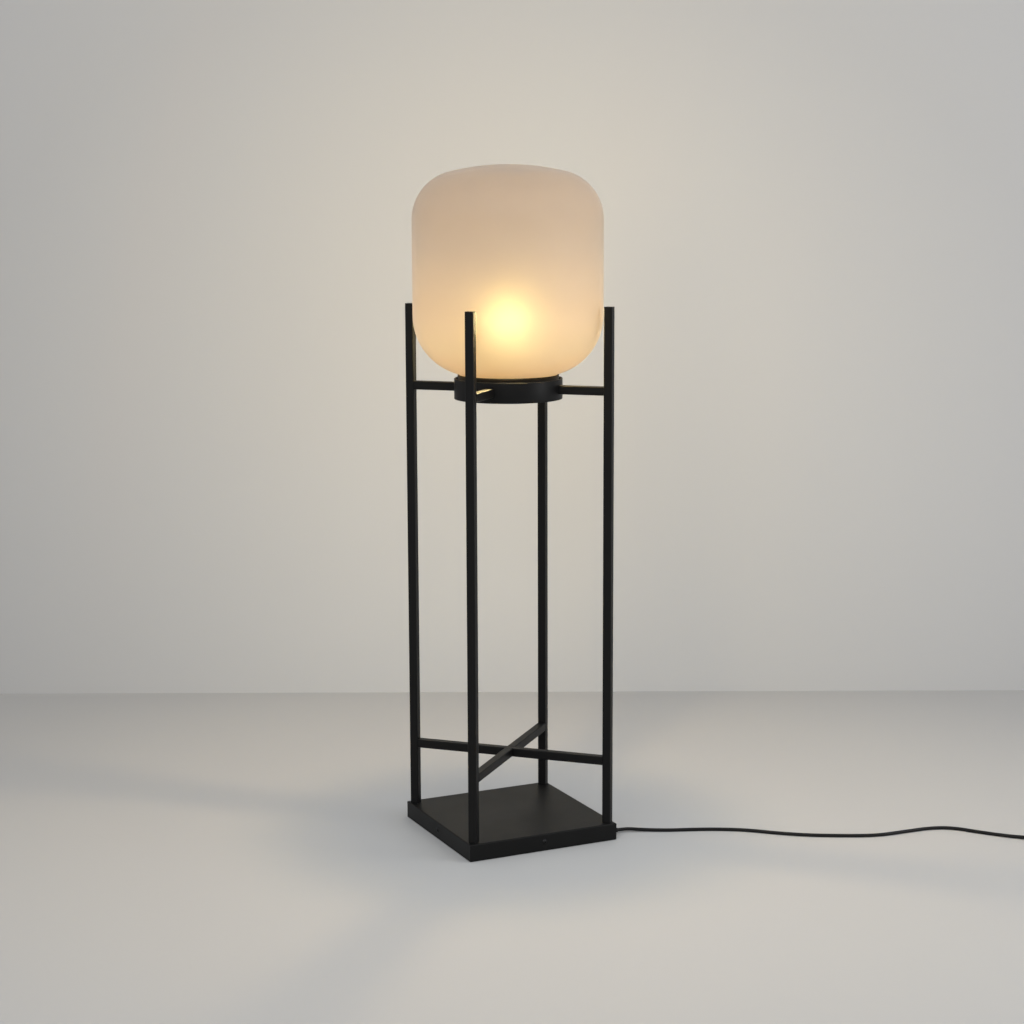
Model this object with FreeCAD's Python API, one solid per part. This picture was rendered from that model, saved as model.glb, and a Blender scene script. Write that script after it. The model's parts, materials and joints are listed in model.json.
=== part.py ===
"""Lantern floor lamp: a frame of square steel tube that carries an opal glass shade on a ring.

The origin is on the floor, under the middle of the square base. +Z is up, the front is -Y and
the right is +X. The posts stand cornerwise, so that arms and braces meet their flat inner faces.
All sizes are in millimetres.
"""
import FreeCAD, Part
import math
import os

V = FreeCAD.Vector
UP = V(0, 0, 1)

# ------------------------------------------------------------------ driving dimensions
# Base
BASE = 300.0             # side of the square base
BASE_TOP = 32.5          # height of its top face
SHEET = 2.0              # folded sheet of the cover
SKIRT_GAP = 1.0          # the skirts end this far above the floor
BEND = 2.5               # outside radius of the folded top edges
SEAM = 0.5               # open corner seam between two skirts
PAD_H = 1.5              # foot pads
PAD_R = 12.5
PAD_OFFSET = 118.0
PAN_SHEET = 1.5          # bottom pan that closes the cover
PAN_TOP = 25.0
PAN_FIT = 0.2            # play between the pan and the skirts
BALLAST = 280.0          # side of the ballast plate
BALLAST_H = 10.0
SKIRT_SCREW_Z = 18.0

# Frame of square tube
TUBE = 16.0
TUBE_WALL = 1.5
TUBE_ROUND = 1.8         # outside corner radius of the tube
POST_AT = 137.0          # post centres, in X and in Y
POST_TOP = 996.0
CAP_H = 2.0
ARM_Z = 843.5            # centre height of the upper arms
BRACE_Z = 151.8          # centre height of the cross brace
PLUG_H = 15.0            # tapped plug in the foot of a post

# Ring and seat of the shade
RING_R = 100.0
RING_WALL = 3.0
RING_Z0 = 824.5
RING_Z1 = 862.0
BRIDGE_Z0 = 846.0
BRIDGE_Z1 = 850.0
BRIDGE_WIDTH = 25.0
SEAT_R = 93.4            # outside of the seat cup
SEAT_WALL = 1.2
SEAT_RIM = 869.5
GASKET_H = 2.0

# Glass shade
SHADE_R = 175.0
SHADE_TOP = 1250.5
GLASS = 3.2
NECK_R = 89.5            # outside of the neck that stands in the seat cup
CROWN_R = 450.0          # flat dome on top
SHOULDER_R = 90.0        # rounded shoulder between dome and side
BELLY_R = 110.0          # rounded lower corner
BELLY_Z = 977.0          # the side starts here
NECK_FILLET = 4.0

# Lampholder and bulb (E27)
NIPPLE_R = 5.0           # M10 hollow nipple
NIPPLE_BORE = 3.5
NIPPLE_LENGTH = 25.0
NIPPLE_NUT = 5.0         # thickness of its nuts
HOLDER_R = 20.0
HOLDER_TOP = 914.0
CONTACT_Z = 888.0        # where the tip of the bulb meets the centre contact
SHELL_R = 13.5           # inside of the screw shell
BULB_CAP_R = 13.1
BULB_NECK_R = 12.3
BULB_R = 30.0
BULB_LENGTH = 108.0
STEM_TOP = 43.0          # height of the inner stem over the contact

# Wiring inside the base
CLAMP_X = 133.0
TERMINAL_X = 110.0
TERMINAL_Y = -108.0

# Cord
CORD = 6.5               # diameter of the round flex
LEAD = 4.6               # diameter of the sleeved inner lead
CORD_EXIT = V(170.0, -116.0, 6.4)      # outer end of the grommet
SWITCH_AXIS_Z = 4.9      # height of the cord's axis at the foot switch
COIL_R = 44.0            # centre line of the outermost turn
COIL_TURNS = 2           # turns in each of the two layers
COIL_PITCH = 8.5         # from turn to turn
COIL_LAYER = 7.0         # from layer to layer
COIL_Z = 4.3             # centre line of the lower layer, lifted by the tie under it

# Foot switch and plug
SWITCH_R = 30.0
SWITCH_TOP = 20.0
SWITCH_PARTING = 3.5     # where the cover stands on the base
BUTTON_R = 12.8
BUTTON_TRAVEL = 3.5
RELIEF = 14.0            # length of the switch's strain reliefs
RELIEF_R = 4.5
PIN_R = 2.4
PIN_LENGTH = 19.0
PIN_SPACING = 19.0
PLUG_RELIEF = 20.0
PLUG_BODY = 45.0
PLUG_AXIS_Z = 13.0

# ------------------------------------------------------------------ worked-out sizes
POST_REACH = POST_AT * math.sqrt(2.0)  # axis of the lamp to axis of a post
FACE_REACH = POST_REACH - TUBE / 2     # axis of the lamp to the inner face of a post
PAN_HALF = BASE / 2 - SHEET - PAN_FIT
PAN_FLOOR = PAD_H + PAN_SHEET
COVER_INSIDE = BASE_TOP - SHEET
WASHER = 1.2                           # thickness of every washer
SLIP = 0.05                            # play round a flex in a hole made for it
SEAT_FLOOR = BRIDGE_Z1 + SEAT_WALL
NECK_FOOT = SEAT_FLOOR + GASKET_H
CORNERS = {"front_left": (-1, -1), "front_right": (1, -1), "back_right": (1, 1), "back_left": (-1, 1)}
LEAD_CORNER = "front_right"            # the inner lead climbs in this post


# ------------------------------------------------------------------ helpers
def save(name, *shapes):
    """Write one node; loose pieces of one kind are kept as separate solids in it."""
    shape = shapes[0] if len(shapes) == 1 else Part.makeCompound(list(shapes))
    shape.exportStep(os.path.join("parts", name + ".step"))
    print(name, "solids", len(shape.Solids), "volume", round(shape.Volume), "valid", shape.isValid())


def block(x0, x1, y0, y1, z0, z1):
    return Part.makeBox(x1 - x0, y1 - y0, z1 - z0, V(x0, y0, z0))


def rod(radius, z0, z1, x=0.0, y=0.0):
    return Part.makeCylinder(radius, z1 - z0, V(x, y, z0))


def sleeve(outer, inner, z0, z1, x=0.0, y=0.0):
    return rod(outer, z0, z1, x, y).cut(rod(inner, z0 - 1, z1 + 1, x, y))


def hexagon(flats, z0, z1, x=0.0, y=0.0):
    radius = flats / math.sqrt(3.0)
    corners = [V(x + radius * math.cos(math.radians(60 * i)), y + radius * math.sin(math.radians(60 * i)), z0)
               for i in range(7)]
    return Part.Face(Part.makePolygon(corners)).extrude(V(0, 0, z1 - z0))


def nut(flats, bore, z0, z1, x=0.0, y=0.0):
    return hexagon(flats, z0, z1, x, y).cut(rod(bore, z0 - 1, z1 + 1, x, y))


def edges_of(points, bulges=None):
    """Edges through (radius, z) points; a bulge names the point on an arc that ends a step."""
    bulges = bulges or {}
    edges = []
    for i in range(len(points) - 1):
        a = V(points[i][0], 0, points[i][1])
        b = V(points[i + 1][0], 0, points[i + 1][1])
        if i in bulges:
            middle = V(bulges[i][0], 0, bulges[i][1])
            edges.append(Part.Arc(a, middle, b).toShape())
        else:
            edges.append(Part.LineSegment(a, b).toShape())
    return edges


def turned(points, bulges=None):
    """A closed outline of (radius, z) points, revolved about the lamp's axis."""
    wire = Part.Wire(edges_of(list(points) + [points[0]], bulges))
    return Part.Face(wire).revolve(V(0, 0, 0), UP, 360)


def placed(shape, origin, heading):
    """Move a shape built along +X from the origin to a place, turned to a heading in degrees."""
    copy = shape.copy()
    copy.rotate(V(0, 0, 0), UP, heading)
    copy.translate(origin)
    return copy


def vertical_edges(shape, half):
    """The four long edges of a square bar of the given half width, standing on the axis."""
    found = []
    for edge in shape.Edges:
        a, b = edge.Vertexes[0].Point, edge.Vertexes[-1].Point
        upright = abs(a.x - b.x) < 1e-6 and abs(a.y - b.y) < 1e-6
        if upright and abs(abs(a.x) - half) < 1e-6 and abs(abs(a.y) - half) < 1e-6:
            found.append(edge)
    return found


def square_bar(length, side=TUBE, corner=TUBE_ROUND):
    half = side / 2
    bar = block(-half, half, -half, half, 0, length)
    return bar.makeFillet(corner, vertical_edges(bar, half))


def square_tube(length):
    inner = TUBE / 2 - TUBE_WALL
    return square_bar(length).cut(block(-inner, inner, -inner, inner, -1, length + 1))


def lying_tube(start, end, z):
    """A square tube along +X, between two distances from the lamp's axis."""
    tube = square_tube(end - start)
    tube.rotate(V(0, 0, 0), V(0, 1, 0), 90)
    tube.translate(V(start, 0, z))
    return tube


def corner_angle(name):
    sx, sy = CORNERS[name]
    return math.degrees(math.atan2(sy, sx))


# ------------------------------------------------------------------ runs and arcs for cords
def bend_radius(before, corner, after, largest=None):
    """Arc radius at a corner of a route: 0.45 of the shorter run over tan(half the turn)."""
    a, b = corner - before, after - corner
    half = a.getAngle(b) / 2
    radius = 0.45 * min(a.Length, b.Length) / math.tan(half)
    return (min(radius, largest) if largest else radius), half


def route_wire(points, largest=None):
    """Straight runs joined by tangent arcs, and the list of the arcs' radii."""
    edges, radii = [], []
    last = points[0]
    for i in range(1, len(points) - 1):
        radius, half = bend_radius(points[i - 1], points[i], points[i + 1], largest)
        back = (points[i - 1] - points[i]).normalize()
        ahead = (points[i + 1] - points[i]).normalize()
        reach = radius * math.tan(half)
        start, end = points[i] + back * reach, points[i] + ahead * reach
        bisector = (back + ahead).normalize()
        middle = points[i] + bisector * (radius / math.cos(half) - radius)
        edges.append(Part.LineSegment(last, start).toShape())
        edges.append(Part.Arc(start, middle, end).toShape())
        radii.append(radius)
        last = end
    edges.append(Part.LineSegment(last, points[-1]).toShape())
    return Part.Wire(edges), radii


def pipe(wire, start, direction, diameter, name):
    """A solid round pipe along a wire, with its volume set against section times length."""
    profile = Part.Wire(Part.makeCircle(diameter / 2, start, direction))
    solid = wire.makePipeShell([profile], True, False)
    expected = math.pi * diameter ** 2 / 4 * wire.Length
    print(name, "length", round(wire.Length, 1), "volume ratio", round(solid.Volume / expected, 4))
    return solid


def tube_along(points, diameter, name, largest=None):
    wire, radii = route_wire(points, largest)
    print(name, "radii", [round(r, 1) for r in radii])
    return pipe(wire, points[0], points[1] - points[0], diameter, name)


def biarc(p0, t0, p1, t1):
    """Two arcs of equal tangent length that join two points with given directions."""
    chord, both = p1 - p0, t0 + t1
    a, b, c = 2 * t0.dot(t1) - 2, -2 * chord.dot(both), chord.dot(chord)
    if abs(a) < 1e-9:
        d = -c / b
    else:
        root = math.sqrt(b * b - 4 * a * c)
        d = max((-b + root) / (2 * a), (-b - root) / (2 * a))
    q0, q1 = p0 + t0 * d, p1 - t1 * d
    joint = (q0 + q1) * 0.5
    return [arc_under(p0, q0, joint), arc_under(joint, q1, p1)]


def arc_under(a, corner, b):
    """The arc that leaves a and reaches b along the two legs of an even-sided corner."""
    back, ahead = (a - corner).normalize(), (b - corner).normalize()
    half = (math.pi - back.getAngle(ahead)) / 2
    radius = (a - corner).Length / math.tan(half)
    middle = corner + (back + ahead).normalize() * (radius / math.cos(half) - radius)
    return Part.Arc(a, middle, b).toShape()


# ------------------------------------------------------------------ base
def base_cover():
    """A folded sheet box, open below, with a thin open seam down each corner."""
    half = BASE / 2
    cover = block(-half, half, -half, half, SKIRT_GAP, BASE_TOP)
    top_edges = [e for e in cover.Edges if all(abs(v.Z - BASE_TOP) < 1e-6 for v in e.Vertexes)]
    cover = cover.makeFillet(BEND, top_edges)
    inner = half - SHEET
    cover = cover.cut(block(-inner, inner, -inner, inner, 0, COVER_INSIDE))
    seam_top = BASE_TOP - BEND - SHEET
    for name in CORNERS:
        seam = block(half * 1.3, half * 1.5, -SEAM / 2, SEAM / 2, 0, seam_top)
        cover = cover.cut(placed(seam, V(0, 0, 0), corner_angle(name)))
    for name, (sx, sy) in CORNERS.items():
        radius = NIPPLE_R + 0.1 if name == LEAD_CORNER else 3.3
        cover = cover.cut(rod(radius, COVER_INSIDE - 1, BASE_TOP + 1, sx * POST_AT, sy * POST_AT))
    for turn in range(4):
        hole = Part.makeCylinder(2.7, 10, V(half - 6, 0, SKIRT_SCREW_Z), V(1, 0, 0))
        cover = cover.cut(placed(hole, V(0, 0, 0), 90 * turn))
    return cover.cut(cord_notch(4.6, half - 10, half + 5))


def cord_notch(radius, x0, x1):
    """A slot, open at the bottom, that the cord's grommet sits in."""
    y, z = CORD_EXIT.y, CORD_EXIT.z
    slot = block(x0, x1, y - radius, y + radius, 0, z)
    return slot.fuse(Part.makeCylinder(radius, x1 - x0, V(x0, y, z), V(1, 0, 0)))


def base_pan():
    """A shallow pan inside the skirts: it holds the ballast and takes the skirt screws."""
    pan = block(-PAN_HALF, PAN_HALF, -PAN_HALF, PAN_HALF, PAD_H, PAN_TOP)
    inner = PAN_HALF - PAN_SHEET
    pan = pan.cut(block(-inner, inner, -inner, inner, PAN_FLOOR, PAN_TOP + 1))
    for turn in range(4):
        hole = Part.makeCylinder(2.55, 10, V(inner - 4, 0, SKIRT_SCREW_Z), V(1, 0, 0))
        pan = pan.cut(placed(hole, V(0, 0, 0), 90 * turn))
    pan = pan.cut(cord_notch(4.6, inner - 1, PAN_HALF + 1))
    return pan.cut(cord_notch(6.2, inner - 4, inner))


def ballast_plate():
    """A thick steel plate that keeps the lamp upright, with one corner cut away for the wiring."""
    half = BALLAST / 2
    plate = block(-half, half, -half, half, PAN_FLOOR, PAN_FLOOR + BALLAST_H)
    return plate.cut(block(half - 60, half + 1, -half - 1, -half + 75, 0, 40))


def skirt_screws():
    """Button heads on the outside of the skirts, one in the middle of each side."""
    half = BASE / 2
    dome = Part.makeSphere(5.48, V(half + 2.75 - 5.48, 0, SKIRT_SCREW_Z))
    head = dome.common(block(half, half + 4, -6, 6, SKIRT_SCREW_Z - 6, SKIRT_SCREW_Z + 6))
    socket = Part.makeCylinder(1.6, 3, V(half + 1.4, 0, SKIRT_SCREW_Z), V(1, 0, 0))
    shank = Part.makeCylinder(2.5, 9, V(half - 9, 0, SKIRT_SCREW_Z), V(1, 0, 0))
    screw = head.fuse(shank).cut(socket)
    return [placed(screw, V(0, 0, 0), 90 * turn) for turn in range(4)]


def clinch_nuts():
    """Round nuts pressed onto the inside of the pan's flanges."""
    inner = PAN_HALF - PAN_SHEET
    body = Part.makeCylinder(4.5, 3.5, V(inner - 3.5, 0, SKIRT_SCREW_Z), V(1, 0, 0))
    body = body.cut(Part.makeCylinder(2.55, 6, V(inner - 4, 0, SKIRT_SCREW_Z), V(1, 0, 0)))
    return [placed(body, V(0, 0, 0), 90 * turn) for turn in range(4)]


def foot_pads():
    return [rod(PAD_R, 0, PAD_H, sx * PAD_OFFSET, sy * PAD_OFFSET) for sx, sy in CORNERS.values()]


# ------------------------------------------------------------------ posts, arms and braces
def post(name):
    """A square tube that stands cornerwise on the cover, from its top face to the end cap."""
    tube = square_tube(POST_TOP - CAP_H - BASE_TOP)
    tube.rotate(V(0, 0, 0), UP, 45)
    sx, sy = CORNERS[name]
    tube.translate(V(sx * POST_AT, sy * POST_AT, BASE_TOP))
    if name == LEAD_CORNER:
        hole = Part.makeCylinder(4.5, TUBE_WALL * 2, V(FACE_REACH - TUBE_WALL / 2, 0, ARM_Z), V(1, 0, 0))
        tube = tube.cut(placed(hole, V(0, 0, 0), corner_angle(name)))
    return tube


def end_caps():
    """Flat square caps with a stub that grips the inside of each post."""
    stub_half = TUBE / 2 - TUBE_WALL
    cap = square_bar(CAP_H)
    cap.translate(V(0, 0, POST_TOP - CAP_H))
    cap = cap.fuse(block(-stub_half, stub_half, -stub_half, stub_half, POST_TOP - CAP_H - 10, POST_TOP - CAP_H))
    cap.rotate(V(0, 0, 0), UP, 45)
    return [placed(cap, V(sx * POST_AT, sy * POST_AT, 0), 0) for sx, sy in CORNERS.values()]


def foot_plugs():
    """Tapped plugs welded in the foot of each post."""
    half = TUBE / 2 - TUBE_WALL
    plugs = []
    for name, (sx, sy) in CORNERS.items():
        plug = block(-half, half, -half, half, BASE_TOP, BASE_TOP + PLUG_H)
        plug.rotate(V(0, 0, 0), UP, 45)
        bore = NIPPLE_R if name == LEAD_CORNER else 3.0
        plug = plug.cut(rod(bore, BASE_TOP - 1, BASE_TOP + PLUG_H + 1))
        plugs.append(placed(plug, V(sx * POST_AT, sy * POST_AT, 0), 0))
    return plugs


def post_bolts():
    """Hexagon bolts that pull three of the posts down onto the cover, from inside the base."""
    washer_under = COVER_INSIDE - WASHER
    bolts = []
    for name, (sx, sy) in CORNERS.items():
        if name != LEAD_CORNER:
            x, y = sx * POST_AT, sy * POST_AT
            head = hexagon(10.0, washer_under - 4, washer_under, x, y)
            bolts.append(head.fuse(rod(3.0, washer_under - 1, BASE_TOP + 12, x, y)))
    return bolts


def post_washers():
    washers = []
    for name, (sx, sy) in CORNERS.items():
        bore = NIPPLE_R if name == LEAD_CORNER else 3.1
        washers.append(sleeve(bore + 3.4, bore, COVER_INSIDE - WASHER, COVER_INSIDE, sx * POST_AT, sy * POST_AT))
    return washers


def arm(name):
    """A square tube from a post's inner face to the ring, its end coped to the ring's curve."""
    tube = lying_tube(RING_R - TUBE, FACE_REACH, ARM_Z)
    tube = tube.cut(rod(RING_R, ARM_Z - 50, ARM_Z + 50))
    return placed(tube, V(0, 0, 0), corner_angle(name))


def brace_long():
    return placed(lying_tube(-FACE_REACH, FACE_REACH, BRACE_Z), V(0, 0, 0), corner_angle("front_right"))


def brace_half(name):
    return placed(lying_tube(TUBE / 2, FACE_REACH, BRACE_Z), V(0, 0, 0), corner_angle(name))


# ------------------------------------------------------------------ ring and seat
def ring_band():
    """The visible band, with its edges broken and a hole where the lead comes in."""
    chamfer = 0.6
    inner = RING_R - RING_WALL
    band = turned([
        (inner, RING_Z0 + chamfer), (inner + chamfer, RING_Z0), (RING_R - chamfer, RING_Z0),
        (RING_R, RING_Z0 + chamfer), (RING_R, RING_Z1 - chamfer), (RING_R - chamfer, RING_Z1),
        (inner + chamfer, RING_Z1), (inner, RING_Z1 - chamfer)])
    hole = Part.makeCylinder(4.5, 12, V(inner - 4, 0, ARM_Z), V(1, 0, 0))
    return band.cut(placed(hole, V(0, 0, 0), corner_angle(LEAD_CORNER)))


def bridge_bar():
    """A flat bar across the ring that carries the seat cup and the lampholder."""
    half = BRIDGE_WIDTH / 2
    bar = block(-RING_R, RING_R, -half, half, BRIDGE_Z0, BRIDGE_Z1)
    bar = bar.common(rod(RING_R - RING_WALL, BRIDGE_Z0, BRIDGE_Z1)).cut(rod(NIPPLE_R + 0.1, 800, 900))
    return placed(bar, V(0, 0, 0), corner_angle("back_right"))


def seat_cup():
    """A spun cup: a flat floor on the bridge and a rim that stands just above the ring."""
    bend = 4.0
    inner = SEAT_R - SEAT_WALL
    low, floor, rim = BRIDGE_Z1, SEAT_FLOOR, SEAT_RIM
    outer_mid = (SEAT_R - bend + bend * math.sin(math.pi / 4), low + bend - bend * math.cos(math.pi / 4))
    small = bend - SEAT_WALL
    inner_mid = (inner - small + small * math.sin(math.pi / 4), floor + small - small * math.cos(math.pi / 4))
    points = [(NIPPLE_R + 0.1, low), (SEAT_R - bend, low), (SEAT_R, low + bend), (SEAT_R, rim),
              (inner, rim), (inner, floor + small), (inner - small, floor), (NIPPLE_R + 0.1, floor)]
    return turned(points, {1: outer_mid, 5: inner_mid})


def seat_gasket():
    return sleeve(NECK_R - 0.5, NECK_R - GLASS - 2.0, SEAT_FLOOR, NECK_FOOT)


# ------------------------------------------------------------------ glass shade
def shade_outline(offset):
    """Tangent arcs of the shade's outside (offset 0) or inside, from the dome down to the neck.

    Returns the points from the axis to the foot of the neck, with the arcs' middle points.
    """
    crown_r, shoulder_r, belly_r = CROWN_R - offset, SHOULDER_R - offset, BELLY_R - offset
    side, neck, fillet = SHADE_R - offset, NECK_R - offset, NECK_FILLET + offset
    crown_z = SHADE_TOP - CROWN_R
    tilt = math.asin((SHADE_R - SHOULDER_R) / (CROWN_R - SHOULDER_R))
    shoulder = (SHADE_R - SHOULDER_R, crown_z + (CROWN_R - SHOULDER_R) * math.cos(tilt))
    belly = (SHADE_R - BELLY_R, BELLY_Z)
    fillet_r = neck + fillet
    reach = belly_r + fillet
    slope = math.acos((fillet_r - belly[0]) / reach)
    fillet_z = BELLY_Z - reach * math.sin(slope)

    def on(centre, radius, angle):
        return (centre[0] + radius * math.cos(angle), centre[1] + radius * math.sin(angle))

    points = [(0.0, crown_z + crown_r), on((0.0, crown_z), crown_r, math.pi / 2 - tilt),
              (side, shoulder[1]), (side, BELLY_Z), on(belly, belly_r, -slope),
              (neck, fillet_z), (neck, NECK_FOOT)]
    middles = {
        0: on((0.0, crown_z), crown_r, math.pi / 2 - tilt / 2),
        1: on(shoulder, shoulder_r, (math.pi / 2 - tilt) / 2),
        3: on(belly, belly_r, -slope / 2),
        4: on((fillet_r, fillet_z), fillet, (math.pi - slope + math.pi) / 2),
    }
    return points, middles


def glass_shade():
    """One blown wall of even thickness: dome, side, rounded belly and an open neck."""
    outer, outer_mid = shade_outline(0.0)
    inner, inner_mid = shade_outline(GLASS)
    outside = edges_of(outer, outer_mid)
    inside = edges_of(inner, inner_mid)
    foot = Part.LineSegment(V(outer[-1][0], 0, NECK_FOOT), V(inner[-1][0], 0, NECK_FOOT)).toShape()
    axis = Part.LineSegment(V(0, 0, outer[0][1]), V(0, 0, inner[0][1])).toShape()
    wire = Part.Wire(Part.__sortEdges__(outside + inside + [foot, axis]))
    return Part.Face(wire).revolve(V(0, 0, 0), UP, 360)


# ------------------------------------------------------------------ lampholder
def nipples():
    """Two hollow threaded nipples: one under the lampholder, one where the lead enters its post."""
    holder = sleeve(NIPPLE_R, NIPPLE_BORE, BRIDGE_Z0 - NIPPLE_NUT, BRIDGE_Z0 - NIPPLE_NUT + NIPPLE_LENGTH)
    low = COVER_INSIDE - 7.5
    return [holder, sleeve(NIPPLE_R, NIPPLE_BORE, low, low + NIPPLE_LENGTH, POST_AT, -POST_AT)]


def nipple_nuts():
    """Lock nuts under the bridge, on the washer inside the cup, and inside the base."""
    over = SEAT_FLOOR + WASHER
    top = COVER_INSIDE - WASHER
    return [nut(14.0, NIPPLE_R, BRIDGE_Z0 - NIPPLE_NUT, BRIDGE_Z0),
            nut(14.0, NIPPLE_R, over, over + NIPPLE_NUT),
            nut(14.0, NIPPLE_R, top - NIPPLE_NUT, top, POST_AT, -POST_AT)]


def holder_washer():
    return sleeve(11.0, NIPPLE_R, SEAT_FLOOR, SEAT_FLOOR + WASHER)


def lampholder_cap():
    """The domed lower half of the lampholder, screwed down onto the upper nut."""
    low = SEAT_FLOOR + WASHER + NIPPLE_NUT
    points = [(NIPPLE_R, low), (9.5, low), (9.5, low + 5), (19.0, low + 12), (19.0, 878), (17.4, 878),
              (17.4, 870), (10.0, 867.2), (NIPPLE_R, 867.2)]
    return turned(points, {2: (17.2, low + 6.2), 6: (15.6, 868.0)})


def lampholder_core():
    """The insulating block that carries the contacts, standing on the rim of the cap."""
    return turned([(2.5, 873), (17.4, 873), (17.4, 878), (18.4, 878), (18.4, 884), (2.5, 884)])


def lampholder_sleeve():
    """The tall outer sleeve, ribbed for grip, that screws down over the core."""
    points = [(18.4, 878), (HOLDER_R, 878), (HOLDER_R, 911), (HOLDER_R - 1.2, HOLDER_TOP),
              (18.0, HOLDER_TOP), (18.0, 908), (14.7, 905), (14.7, 884), (18.4, 884)]
    return turned(points)


def screw_shell():
    return sleeve(14.6, SHELL_R, 884, 905)


def centre_contact():
    return rod(2.5, 873, 884).fuse(rod(4.0, 884, CONTACT_Z))


# ------------------------------------------------------------------ bulb
def bulb_outline(offset):
    """Neck, hollow throat and round globe, tangent to one another, from the neck up to the top."""
    foot, throat_z = CONTACT_Z + 22, CONTACT_Z + 27
    centre_z = CONTACT_Z + BULB_LENGTH - BULB_R
    rise = centre_z - throat_z
    throat = (BULB_NECK_R ** 2 + rise ** 2 - BULB_R ** 2) / (2 * (BULB_R - BULB_NECK_R))
    slope = math.atan2(rise, BULB_NECK_R + throat)
    ball, neck, hollow = BULB_R - offset, BULB_NECK_R - offset, throat + offset
    hollow_x = neck + hollow

    def at(angle):
        return (ball * math.cos(angle), centre_z + ball * math.sin(angle))

    points = [(neck, foot), (neck, throat_z), at(-slope), at(math.pi / 2)]
    middles = [(hollow_x - hollow * math.cos(slope / 2), throat_z + hollow * math.sin(slope / 2)),
               at((math.pi / 2 - slope) / 2)]
    return points, middles


def bulb_glass():
    """A pear-shaped glass of even thickness: a round globe drawn down to the neck in the cap."""
    outer, outer_mid = bulb_outline(0.0)
    inner, inner_mid = bulb_outline(1.0)
    middles = {1: outer_mid[0], 2: outer_mid[1], 4: inner_mid[1], 5: inner_mid[0]}
    return turned(outer + inner[::-1], middles)


def bulb_cap():
    """The metal screw cap, open at the top for the glass and closed by the insulator below."""
    top = CONTACT_Z + 26.0
    points = [(12.4, CONTACT_Z + 6), (BULB_CAP_R, CONTACT_Z + 8), (BULB_CAP_R, top), (12.4, top),
              (12.4, CONTACT_Z + 8)]
    return turned(points)


def bulb_insulator():
    return turned([(0, CONTACT_Z + 1.5), (5.0, CONTACT_Z + 1.5), (12.4, CONTACT_Z + 6),
                   (12.4, CONTACT_Z + 8), (0, CONTACT_Z + 8)])


def bulb_tip():
    return turned([(0, CONTACT_Z), (3.2, CONTACT_Z), (4.6, CONTACT_Z + 1.5), (0, CONTACT_Z + 1.5)],
                  {1: (4.3, CONTACT_Z + 0.6)})


def bulb_stem():
    """The glass stem that rises from the cap, with a flange on the insulator."""
    low, top = CONTACT_Z + 8, CONTACT_Z + STEM_TOP
    return turned([(0, low), (10.5, low), (10.5, low + 2), (4.0, low + 10), (3.0, top), (0, top)],
                  {2: (6.0, low + 4.5)})


def bulb_filaments():
    """Four upright glowing rods on a carrier ring, whose two spokes rest on the stem."""
    low = CONTACT_Z + STEM_TOP
    carrier = sleeve(9.6, 8.4, low, low + 1.2).fuse(block(-9.0, 9.0, -0.6, 0.6, low, low + 1.2))
    rods = []
    for turn in range(4):
        angle = math.radians(45 + 90 * turn)
        rods.append(rod(1.1, low, low + 35, 9.0 * math.cos(angle), 9.0 * math.sin(angle)))
    return carrier.multiFuse(rods)


# ------------------------------------------------------------------ wiring inside
def inlet_flex():
    """The end of the mains flex, from inside the grommet to the terminal block."""
    return Part.makeCylinder(CORD / 2, CORD_EXIT.x - 120, V(120, CORD_EXIT.y, CORD_EXIT.z), V(1, 0, 0))


def cord_grommet():
    """A flexible grommet: inner head, neck in the slot, outer flange and a tapered tail."""
    y, z, bore = CORD_EXIT.y, CORD_EXIT.z, CORD / 2 + SLIP
    wall_in, wall_out, tail = PAN_HALF - PAN_SHEET, BASE / 2, CORD_EXIT.x
    profile = [(bore, wall_in - 3), (6.0, wall_in - 3), (6.0, wall_in), (4.5, wall_in), (4.5, wall_out),
               (5.9, wall_out), (5.9, wall_out + 2), (5.2, wall_out + 2.6), (4.1, tail), (bore, tail)]
    shape = turned(profile)
    shape.rotate(V(0, 0, 0), V(0, 1, 0), 90)
    shape.translate(V(0, y, z))
    return shape


def cord_clamp():
    """A bridge clamp that holds the flex down on the pan."""
    y, z, bore = CORD_EXIT.y, CORD_EXIT.z, CORD / 2 + SLIP
    bar = block(CLAMP_X - 4, CLAMP_X + 4, y - 12, y + 12, PAN_FLOOR, z + 6)
    bar = bar.cut(Part.makeCylinder(bore, 10, V(CLAMP_X - 5, y, z), V(1, 0, 0)))
    return bar.cut(block(CLAMP_X - 5, CLAMP_X + 5, y - bore, y + bore, 0, z))


def clamp_screws():
    z = CORD_EXIT.z + 6
    return [rod(2.6, z, z + 2, CLAMP_X, CORD_EXIT.y + side * 8.5) for side in (-1, 1)]


def terminal_block():
    """A two-way terminal block, where the flex meets the inner lead."""
    body = block(TERMINAL_X - 10, TERMINAL_X + 10, TERMINAL_Y - 9, TERMINAL_Y + 9, PAN_FLOOR, PAN_FLOOR + 12)
    return body.makeFillet(1.0, [e for e in body.Edges if abs(e.BoundBox.ZLength - 12) < 1e-6])


def terminal_screws():
    low = PAN_FLOOR + 12
    return [rod(1.6, low, low + 0.8, TERMINAL_X + along * 4.5, TERMINAL_Y + side * 4.5)
            for along in (-1, 1) for side in (-1, 1)]


def inner_lead():
    """The sleeved lead: out of the terminal block, up one post, through its arm, to the holder."""
    out = V(1, -1, 0).normalize()
    start = V(TERMINAL_X, TERMINAL_Y - 9, 9)
    low = ARM_Z - 11.5
    points = [start, start + V(0, -18, 0), V(POST_AT, -POST_AT, 13), V(POST_AT, -POST_AT, ARM_Z),
              out * 70 + V(0, 0, ARM_Z), out * 36 + V(0, 0, low), V(0, 0, low), V(0, 0, 873)]
    return tube_along(points, LEAD, "inner_lead", largest=12.0)


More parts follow.
